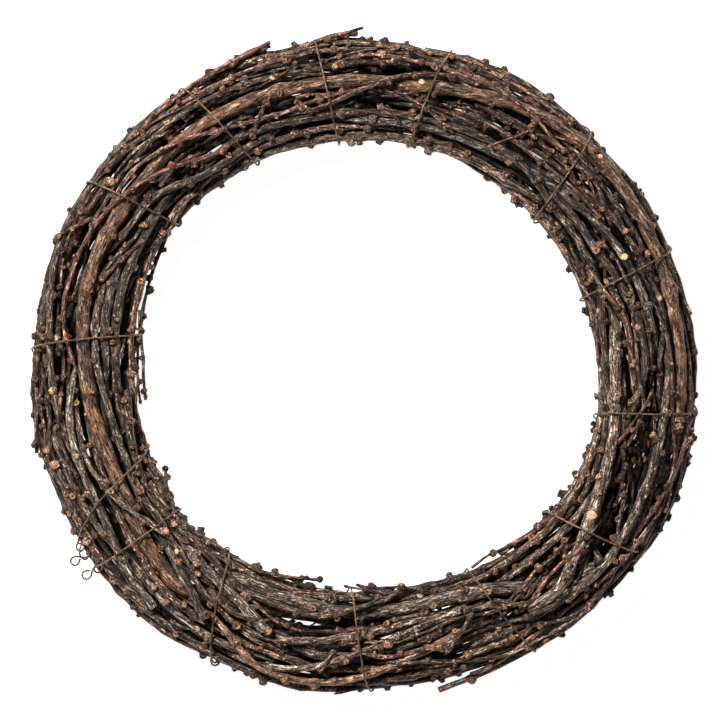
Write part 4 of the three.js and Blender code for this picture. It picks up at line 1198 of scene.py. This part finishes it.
# %% Colours and node helpers
def paint(red, green, blue):
    """A colour given as it looks on a screen, 0 to 255, as the linear values that Blender works in."""
    def linear(value):
        value /= 255
        return value / 12.92 if value <= 0.04045 else ((value + 0.055) / 1.055) ** 2.4
    return (linear(red), linear(green), linear(blue), 1)


def start_finish(name):
    """A new material with its node tree and its shader."""
    material = bpy.data.materials.new(name)
    material.use_nodes = True
    return material, material.node_tree, material.node_tree.nodes["Principled BSDF"]


def node(tree, kind, inputs=None, **settings):
    """Adds a node. An input is another node's output, which is linked, or a value."""
    made = tree.nodes.new(kind)
    for name, value in settings.items():
        setattr(made, name, value)
    for name, value in (inputs or {}).items():
        if isinstance(value, bpy.types.NodeSocket):
            tree.links.new(value, made.inputs[name])
        else:
            made.inputs[name].default_value = value
    return made


def ramp(tree, value, stops):
    """A colour ramp through (place, colour) stops."""
    made = node(tree, "ShaderNodeValToRGB", {"Fac": value})
    elements = made.color_ramp.elements
    while len(elements) < len(stops):
        elements.new(0.5)
    for element, (at, colour) in zip(elements, stops):
        element.position = at
        element.color = colour
    return made.outputs["Color"]


def blend_colours(tree, share, under, over, way="MIX"):
    """Lays one colour over another by a share."""
    made = node(tree, "ShaderNodeMix", data_type="RGBA", blend_type=way)
    for socket, value in ((made.inputs[0], share), (made.inputs[6], under), (made.inputs[7], over)):
        if isinstance(value, bpy.types.NodeSocket):
            tree.links.new(value, socket)
        else:
            socket.default_value = value
    return made.outputs[2]


def kept_value(tree, name, output="Fac"):
    """A value that was kept on the mesh."""
    return node(tree, "ShaderNodeAttribute", attribute_name=name).outputs[output]


def stretch_to(tree, value, low, high, **settings):
    """Stretches a value from between 0 and 1 to between low and high."""
    return node(tree, "ShaderNodeMapRange", {"Value": value, "To Min": low, "To Max": high},
                **settings).outputs["Result"]


def brighten(tree, colour, factor):
    """Makes a colour brighter, or darker below 1."""
    return node(tree, "ShaderNodeHueSaturation", {"Value": factor, "Color": colour}).outputs["Color"]


def dress(tree, shader, colour, roughness, relief, strength, height):
    """Gives a shader its colour, its roughness and a relief of so many metres."""
    bump = node(tree, "ShaderNodeBump", {"Height": relief, "Strength": strength, "Distance": height})
    tree.links.new(colour, shader.inputs["Base Color"])
    tree.links.new(roughness, shader.inputs["Roughness"])
    tree.links.new(bump.outputs["Normal"], shader.inputs["Normal"])


BLACK, WHITE = (0, 0, 0, 1), (1, 1, 1, 1)
print("a mid brown on the screen, in linear light:", [round(v, 3) for v in paint(120, 90, 70)[:3]])


# %% Bark
def noise_on(tree, where, across, along, detail, roughness=0.6):
    """Noise on the unrolled bark, in patches so many millimetres across the stem and along it."""
    spot = node(tree, "ShaderNodeMapping", {"Vector": where, "Scale": (1 / across, 1 / across, 1 / along)})
    return node(tree, "ShaderNodeTexNoise", {"Vector": spot.outputs["Vector"], "Scale": 1, "Detail": detail,
                                             "Roughness": roughness}).outputs["Fac"]


def bark_finish(name, crack, body, fibre, fleck, patch):
    """Rough bark from five colours: its cracks, body, raised fibres, pale flecks and broad patches."""
    material, tree, shader = start_finish(name)
    spot = kept_value(tree, "bark", "Vector")
    tone, warmth, pale, relief, shade_depth = (
        kept_value(tree, name) for name in ("tone", "warmth", "pale", "relief", "shade_depth"))
    fibres = noise_on(tree, spot, 0.8, 5, 5, 0.7)
    strips = noise_on(tree, spot, 2, 8, 2)
    flecks = noise_on(tree, spot, 0.9, 1.6, 3)
    patches = noise_on(tree, spot, 5, 14, 2)
    wood = ramp(tree, fibres, [(0.40, crack), (0.475, body), (0.55, fibre), (0.64, fleck)])
    drift = ramp(tree, patches, [(0.44, BLACK), (0.58, WHITE)])
    wood = blend_colours(tree, drift, wood, blend_colours(tree, 0.6, wood, patch))
    scuffed = ramp(tree, flecks, [(0.60, BLACK), (0.67, WHITE)])
    wood = blend_colours(tree, scuffed, wood, fleck)
    splits = ramp(tree, strips, [(0.465, BLACK), (0.49, WHITE), (0.51, WHITE), (0.535, BLACK)])
    wood = blend_colours(tree, splits, wood, crack)
    hue = ramp(tree, warmth, [(0, (0.86, 0.88, 0.88, 1)), (0.5, (0.94, 0.87, 0.82, 1)),
                              (1, (1, 0.83, 0.73, 1))])
    wood = blend_colours(tree, 1, wood, hue, "MULTIPLY")
    bright = stretch_to(tree, tone, 0.65, 1.6)
    # Painted shade and painted light from the relief: the colour is darker in the grooves between the ridges
    # and lighter on the ridges.
    raised = node(tree, "ShaderNodeMapRange", {"Value": relief, "From Min": -0.4, "From Max": 0.4,
                                               "To Min": 0.35, "To Max": 1.6}).outputs["Result"]
    bright = node(tree, "ShaderNodeMath", {0: bright, 1: raised}, operation="MULTIPLY").outputs["Value"]
    wood = brighten(tree, wood, bright)
    lighter = stretch_to(tree, tone, -0.04, 0.06, clamp=False)
    shown = node(tree, "ShaderNodeMath", {0: flecks, 1: lighter}).outputs["Value"]
    tip = ramp(tree, shown, [(0.36, paint(50, 32, 24)), (0.47, paint(140, 92, 66)),
                             (0.57, paint(200, 146, 104)), (0.68, paint(242, 208, 168))])
    wood = blend_colours(tree, pale, wood, tip)
    # Painted shade: the farther into the bundle a corner lies, the darker its colour, nearly to black; at the
    # bundle's face it is a little lighter, a painted light.
    wood = brighten(tree, wood, stretch_to(tree, shade_depth, 1.2, 0.04))
    shader.inputs["Specular IOR Level"].default_value = 0.3
    dress(tree, shader, wood, stretch_to(tree, fibres, 0.75, 0.4), fibres, 1.0, 0.9 * MM)
    return material


BARKS = {
    "vine_bark": bark_finish("vine_bark", paint(24, 18, 14), paint(86, 68, 58), paint(138, 111, 92),
                             paint(212, 182, 156), paint(130, 88, 62)),
    "cane_bark": bark_finish("cane_bark", paint(12, 10, 9), paint(66, 56, 49), paint(126, 111, 99),
                             paint(230, 214, 198), paint(88, 66, 54)),
    "twig_bark": bark_finish("twig_bark", paint(10, 7, 6), paint(56, 44, 39), paint(110, 92, 80),
                             paint(224, 198, 176), paint(84, 58, 48)),
    "red_bark": bark_finish("red_bark", paint(24, 15, 13), paint(86, 61, 54), paint(140, 104, 94),
                            paint(226, 188, 170), paint(98, 62, 54)),
}
print("bark finishes:", sorted(BARKS))

# %% [markdown]
# ## Bare wood at the cut ends
#
# A cut end shows the wood under the bark: tan end grain, gone dark in specks since it was cut. Rings
# could be drawn round the pith, but at five millimetres across they would hardly show. Noise will do.

# %% Bare wood
def cut_finish():
    """Sawn end grain: tan wood, darkened by weather, with fine speckle."""
    material, tree, shader = start_finish("cut_wood")
    spot = kept_value(tree, "bark", "Vector")
    speckle = node(tree, "ShaderNodeTexNoise", {"Vector": spot, "Scale": 1.6, "Detail": 4}).outputs["Fac"]
    wood = ramp(tree, speckle, [(0.38, paint(70, 50, 36)), (0.52, paint(150, 112, 78)),
                                (0.66, paint(214, 180, 140))])
    tree.links.new(wood, shader.inputs["Base Color"])
    shader.inputs["Roughness"].default_value = 0.85
    shader.inputs["Specular IOR Level"].default_value = 0.25
    bump = node(tree, "ShaderNodeBump", {"Height": speckle, "Strength": 0.5, "Distance": 0.3 * MM})
    tree.links.new(bump.outputs["Normal"], shader.inputs["Normal"])
    return material


CUT_WOOD = cut_finish()
print("finish for the cut ends:", CUT_WOOD.name)

# %% [markdown]
# ## All the stems
#
# Now each stem is made: tube, bark, ends, buds, and all of it joined to one mesh. A stem that has a
# solid in the frame stands for that solid. The fine twigs, short twigs and side shoots have none. They
# are joined in a few pieces, so that the list stays short.

# %% Make one stem
TERMINAL_BUD = (1.15, 1.5)  # size in girths of the twig's tip
TERMINAL_LONG = 1.8  # its length, in its own sizes
SAME_CORNER = 0.00001  # metres
SMOOTH_TO = 65  # degrees between faces, past which the edge between them stays sharp


def terminal_bud(stem):
    """The bud that a thin twig ends in."""
    last = len(stem["line"]) - 1
    ahead = Vector(stem["line"][last] - stem["line"][last - 2]).normalized()
    size = stem["girth"][last] * chance.uniform(*TERMINAL_BUD)
    return {"k": last, "out": ahead, "size": size, "proud": size * TERMINAL_LONG, "form": "bud"}


def join_all(pieces):
    """Joins pieces into the first of them."""
    bpy.ops.object.select_all(action="DESELECT")
    for piece in pieces:
        piece.select_set(True)
    bpy.context.view_layer.objects.active = pieces[0]
    if len(pieces) > 1:
        bpy.ops.object.join()
    return pieces[0]


def merge_and_smooth(piece):
    """Merges the doubles of a joined piece and shades it smooth but for its sharp rims."""
    bpy.ops.object.mode_set(mode="EDIT")
    bpy.ops.mesh.select_all(action="SELECT")
    bpy.ops.mesh.remove_doubles(threshold=SAME_CORNER)
    bpy.ops.object.mode_set(mode="OBJECT")
    bpy.ops.object.shade_smooth_by_angle(angle=math.radians(SMOOTH_TO))
    return piece


def make_stem(stem):
    """One finished stem with its buds, as one mesh."""
    kind = KINDS[stem["kind"]]
    girth = swollen(stem)
    piece, point, place = tube(stem["name"] + "_stem", stem["line"], girth, kind["sides"])
    piece.data.materials.clear()
    piece.data.materials.append(BARKS[stem["finish"]])
    piece.data.materials.append(CUT_WOOD)
    grow_bark(piece, stem, girth, point, place, kind["sides"], kind["rough"])
    cut_ends(piece, stem, point, place, kind["sides"])
    knobs = [place_knob(stem, bud, girth[bud["k"]]) for bud in stem["buds"]]
    if stem["tip_bud"]:
        knobs.append(place_knob(stem, terminal_bud(stem), 0))
    for knob in knobs:
        knob.data.materials.clear()
        knob.data.materials.append(BARKS[stem["finish"]])
    return merge_and_smooth(join_all([piece, *knobs]))


# %% Make them all
for stem in stems:
    piece = make_stem(stem)
    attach(piece, "root")
    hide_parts(stem["name"])
print("stems made:", len(stems))

GROUP_SIZE = 24
for what, group in (("fine_twigs", fine_twigs), ("short_twigs", short_twigs), ("side_shoots", shoots)):
    for slot in sorted({stem["slot"] for stem in group}):
        alike = [stem for stem in group if stem["slot"] == slot]
        for first in range(0, len(alike), GROUP_SIZE):
            piece = join_all([make_stem(stem) for stem in alike[first : first + GROUP_SIZE]])
            piece.name = f"{what}_{slot}_{first // GROUP_SIZE + 1}"
            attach(piece, "root")
print("fine twigs, short twigs and side shoots made:", len(fine_twigs), len(short_twigs), len(shoots))

for knob in KNOBS.values():
    bpy.data.objects.remove(knob)

# %% [markdown]
# ## The feet
#
# The wreath lies on three low points underneath. In the solid they are short stubs with a flat sole.
# Here each is a short round stub from its stem down to the floor, with its rims worn off by a bevel. A
# copy of the spur would do too, but its shaken end wouldn't lie flat on the floor.

# %% Feet
FOOT_SPAN = 4 * MM
FOOT_GIRTH = 2 * MM
FOOT_SIDES = 9
RIM_WORN = 0.35 * MM
FOOT_SMOOTH_TO = 50  # degrees


def soles():
    """The middles of the flat soles under the solid model."""
    low = [c for name in sorted(frame["nodes"]) for c in corners_of(name) if c[2] < SOLE_HEIGHT]
    found = []
    while low:
        first = low[0]
        found.append(np.mean([c for c in low if np.linalg.norm(c - first) < 2 * FOOT_SPAN], axis=0))
        low = [c for c in low if np.linalg.norm(c - first) >= 2 * FOOT_SPAN]
    return found


for number, sole in enumerate(soles(), 1):
    stem = min(stems, key=lambda s: np.linalg.norm(s["line"] - sole, axis=1).min())
    top = stem["line"][nearest_on(stem["line"], sole)][2]
    bpy.ops.object.select_all(action="DESELECT")
    bpy.ops.mesh.primitive_cylinder_add(vertices=FOOT_SIDES, radius=FOOT_GIRTH, depth=top,
                                        location=(sole[0], sole[1], top / 2))
    foot = bpy.context.object
    foot.name = f"foot_{number}"
    bpy.ops.object.transform_apply(location=True, rotation=True, scale=True)
    bpy.ops.object.modifier_add(type="BEVEL")
    foot.modifiers["Bevel"].width = RIM_WORN
    foot.modifiers["Bevel"].segments = 2
    foot.modifiers["Bevel"].limit_method = "ANGLE"
    bpy.ops.object.modifier_apply(modifier="Bevel")
    corners = mesh_corners(foot.data)
    count = len(corners)
    keep_value(foot.data, "bark", corners / MM, "FLOAT_VECTOR")
    keep_value(foot.data, "tone", np.full(count, stem["tone"]))
    keep_value(foot.data, "warmth", np.full(count, stem["warmth"]))
    for value in ("pale", "relief", "shade_depth"):
        keep_value(foot.data, value, np.zeros(count))
    foot.data.materials.clear()
    foot.data.materials.append(BARKS["twig_bark"])
    bpy.ops.object.shade_smooth_by_angle(angle=math.radians(FOOT_SMOOTH_TO))
    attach(foot, "root")
print("feet:", len(soles()))

# %% [markdown]
# ## The binding wire
#
# One soft iron wire spirals round the bundle fourteen times. The solid is a thin three-sided tube, so
# its line is found by walking from one end: each ring of three corners is next to the ring before.
# The walk gives the wire's middle line in order. It is smoothed, pushed out of the new bark where that
# stands proud, and made a round tube with the slight kinks of a wire pulled tight by hand.

# %% Walk along the wire
def wire_line():
    """The middle line of the wire's solid, from one end to the other."""
    mesh = frame["nodes"]["binding_wire"].data
    corners, index = np.unique(np.round(mesh_corners(mesh), SAME_PLACE), axis=0, return_inverse=True)
    index = index.ravel()
    faces = {tuple(sorted(index[list(p.vertices)])) for p in mesh.polygons}
    beside = {k: set() for k in range(len(corners))}
    for face in faces:
        for a in face:
            beside[a].update(b for b in face if b != a)
    # an end is closed by one face whose corners have fewer neighbours than those along the wire
    ends = sorted(faces, key=lambda f: sum(len(beside[a]) for a in f))
    ring, seen, middles = set(ends[0]), set(), []
    while ring:
        middles.append(corners[sorted(ring)].mean(axis=0))
        seen |= ring
        ring = {b for a in ring for b in beside[a]} - seen
    return np.array(middles)


middles = wire_line()
print("points along the wire's solid:", len(middles))

# %% Make the wire
WIRE_GIRTH = 0.53 * MM
WIRE_SIDES = 8
WIRE_STEP = 1.0 * MM
WIRE_ROUNDS = 14
WIRE_YIELD = 0.5  # share of its overlap with a stem that each push clears
KINK_WAVE, KINKS, KINKS_FROM = 7 * MM, 0.12 * MM, 3.5
line, girth = smooth_line(middles, np.full(len(middles), WIRE_GIRTH), WIRE_STEP)
thicket = Thicket(everything)
for _ in range(WIRE_ROUNDS):
    for k in range(1, len(line) - 1):
        for place, sample, far in thicket.tree.find_range(line[k], REACH):
            sunk = thicket.girths[sample] + WIRE_GIRTH - far
            if sunk > 0:
                line[k] += np.array((Vector(line[k]) - place).normalized() * sunk * WIRE_YIELD)
    line = ease(line, 1)
line = wander(line, KINK_WAVE, KINKS, KINKS_FROM)
line = np.clip(line, np.array(cad_low) + WIRE_GIRTH, np.array(cad_high) - WIRE_GIRTH)


def make_wire(name, line):
    """A round wire along a line, with its place on the wire kept for the rusty colour and the painted
    highlight.
    """
    wire, point, place = tube(name, line, np.full(len(line), WIRE_GIRTH), WIRE_SIDES)
    along = lengths_along(line)[point] / MM
    turn = 2 * math.pi * place / WIRE_SIDES
    keep_value(wire.data, "bark", np.column_stack([np.cos(turn), np.sin(turn), along]), "FLOAT_VECTOR")
    return merge_and_smooth(join_all([wire]))


wire = make_wire("wound_wire", line)
print("wire:", round(lengths_along(line)[-1], 2), "m long")

# %% [markdown]
# ## Loops at the wire's ends
#
# Whoever wound the wreath twisted the spare ends of the wire into small loops, which stand out at the
# outer edge. Each is a smooth line through a few places that were read off the photograph. A bent
# circle would be quicker, but these curls cross themselves and none of them is round.

# %% Wire loops
LOOP_STEP = 0.6 * MM
# places that each spare end passes: angle, millimetres out, height in millimetres
WIRE_LOOPS = (
    ((216.2, 25, 24), (216.6, 29, 25), (217.2, 31, 24), (217.9, 30, 22.5), (217.8, 27.5, 21.5),
     (217, 26, 21)),
    ((211.2, 26, 24), (211.6, 29.5, 25), (212.4, 32, 24.5), (213.2, 31, 23), (213, 28.5, 22),
     (212.2, 27.5, 23), (212.6, 30, 24.5), (213.8, 32.5, 24), (214.8, 31.5, 22.5), (214.6, 29, 21.5),
     (213.8, 26.5, 21)),
    ((242.3, 25, 20), (242.6, 28, 20.5), (243.2, 29.5, 20), (243.9, 28.5, 19), (244, 26.5, 18.5)),
)
loops = []
for number, places in enumerate(WIRE_LOOPS, 1):
    middles = np.array([around(angle, out * MM, height * MM) for angle, out, height in places])
    loop_line, _ = smooth_line(middles, np.full(len(middles), WIRE_GIRTH), LOOP_STEP)
    loops.append(make_wire(f"wire_loop_{number}", loop_line))
print("wire loops:", len(loops))

# %% [markdown]
# ## The wire's finish
#
# Soft iron wire comes dark from the furnace and rusts brown out of doors. Plain metal would shine too
# brightly here, and a plain brown would look like thread. So it is a third metal, with rust in patches
# that are rougher where they are darker, and pale patches of painted highlight.

# %% Rust and a painted highlight on the wire
def wire_finish():
    """Annealed iron wire, rusty brown, with pale patches that are a painted highlight."""
    material, tree, shader = start_finish("rusty_wire")
    spot = kept_value(tree, "bark", "Vector")
    rust_and_highlight = node(tree, "ShaderNodeTexNoise", {"Vector": spot, "Scale": 0.5, "Detail": 4}).outputs["Fac"]
    # The ramp's browns are the rust's colour; its palest stop is a painted highlight, laid in patches along
    # the wire.
    colour = ramp(tree, rust_and_highlight, [(0.36, paint(66, 48, 38)), (0.52, paint(112, 84, 64)),
                               (0.68, paint(150, 122, 98))])
    shader.inputs["Metallic"].default_value = 0.35
    dress(tree, shader, colour, stretch_to(tree, rust_and_highlight, 0.7, 0.4), rust_and_highlight, 0.3, 0.1 * MM)
    return material


RUSTY_WIRE = wire_finish()
for piece in (wire, *loops):
    piece.data.materials.clear()
    piece.data.materials.append(RUSTY_WIRE)
    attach(piece, "root")
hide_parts("binding_wire")
print("pieces of wire:", 1 + len(loops))

# %% [markdown]
# ## Floor, light and camera
#
# The wreath lies on a plain white floor under a soft light. One square lamp from the upper left gives
# the stems their shape. A weak one from the lower right and a pale sky fill in. The floor glows, as
# paper lit from all sides does, so that it stays white right up to the twigs. The camera looks straight
# down from far away through a long lens, so that the ring shows nearly without perspective.

# %% Floor
FLOOR_SIZE = 6
FLOOR_GREY = 0.8
FLOOR_GLOW = 0.9
bpy.ops.object.select_all(action="DESELECT")
bpy.ops.mesh.primitive_plane_add(size=FLOOR_SIZE, location=(0, 0, 0))
floor = bpy.context.object
floor.name = "floor"
material, tree, shader = start_finish("white_paper")
shader.inputs["Base Color"].default_value = (FLOOR_GREY, FLOOR_GREY, FLOOR_GREY, 1)
shader.inputs["Roughness"].default_value = 0.9
shader.inputs["Emission Color"].default_value = WHITE
shader.inputs["Emission Strength"].default_value = FLOOR_GLOW
floor.data.materials.append(material)
print("floor:", FLOOR_SIZE, "m square")

# %% Lights
def softbox(name, place, aim, size, power):
    """A square lamp that faces a point."""
    bpy.ops.object.light_add(type="AREA", location=place)
    lamp = bpy.context.object
    lamp.name = name
    lamp.data.size = size
    lamp.data.energy = power
    lamp.rotation_euler = (Vector(aim) - Vector(place)).to_track_quat("-Z", "Y").to_euler()
    return lamp


MIDDLE = (0, 0, 0)
softbox("main_softbox", (-0.65, 0.75, 1.3), MIDDLE, 0.35, 42)
softbox("fill_softbox", (0.5, -0.5, 1.6), MIDDLE, 0.8, 2)
SKY_GLOW = 0.05
world = bpy.data.worlds.new("pale_sky")
world.use_nodes = True
world.node_tree.nodes["Background"].inputs["Color"].default_value = WHITE
world.node_tree.nodes["Background"].inputs["Strength"].default_value = SKY_GLOW
bpy.context.scene.world = world
bpy.context.scene.view_settings.view_transform = "Standard"

# %% Camera
SENSOR = 36
FRAME_WIDTH = 380.7 * MM  # across the picture, at the middle of the ring's thickness
OFF_CENTRE = (-1.96 * MM, 3.28 * MM)  # the picture's middle, from the ring's centre
CAMERA_X, CAMERA_Y = RING_X + OFF_CENTRE[0], RING_Y + OFF_CENTRE[1]
bpy.ops.object.camera_add(location=(CAMERA_X, CAMERA_Y, MID_HEIGHT + EYE_FAR), rotation=(0, 0, 0))
camera = bpy.context.object
camera.data.lens = SENSOR * EYE_FAR / FRAME_WIDTH
camera.data.sensor_width = SENSOR
bpy.context.scene.camera = camera
print("lens:", round(camera.data.lens), "mm")
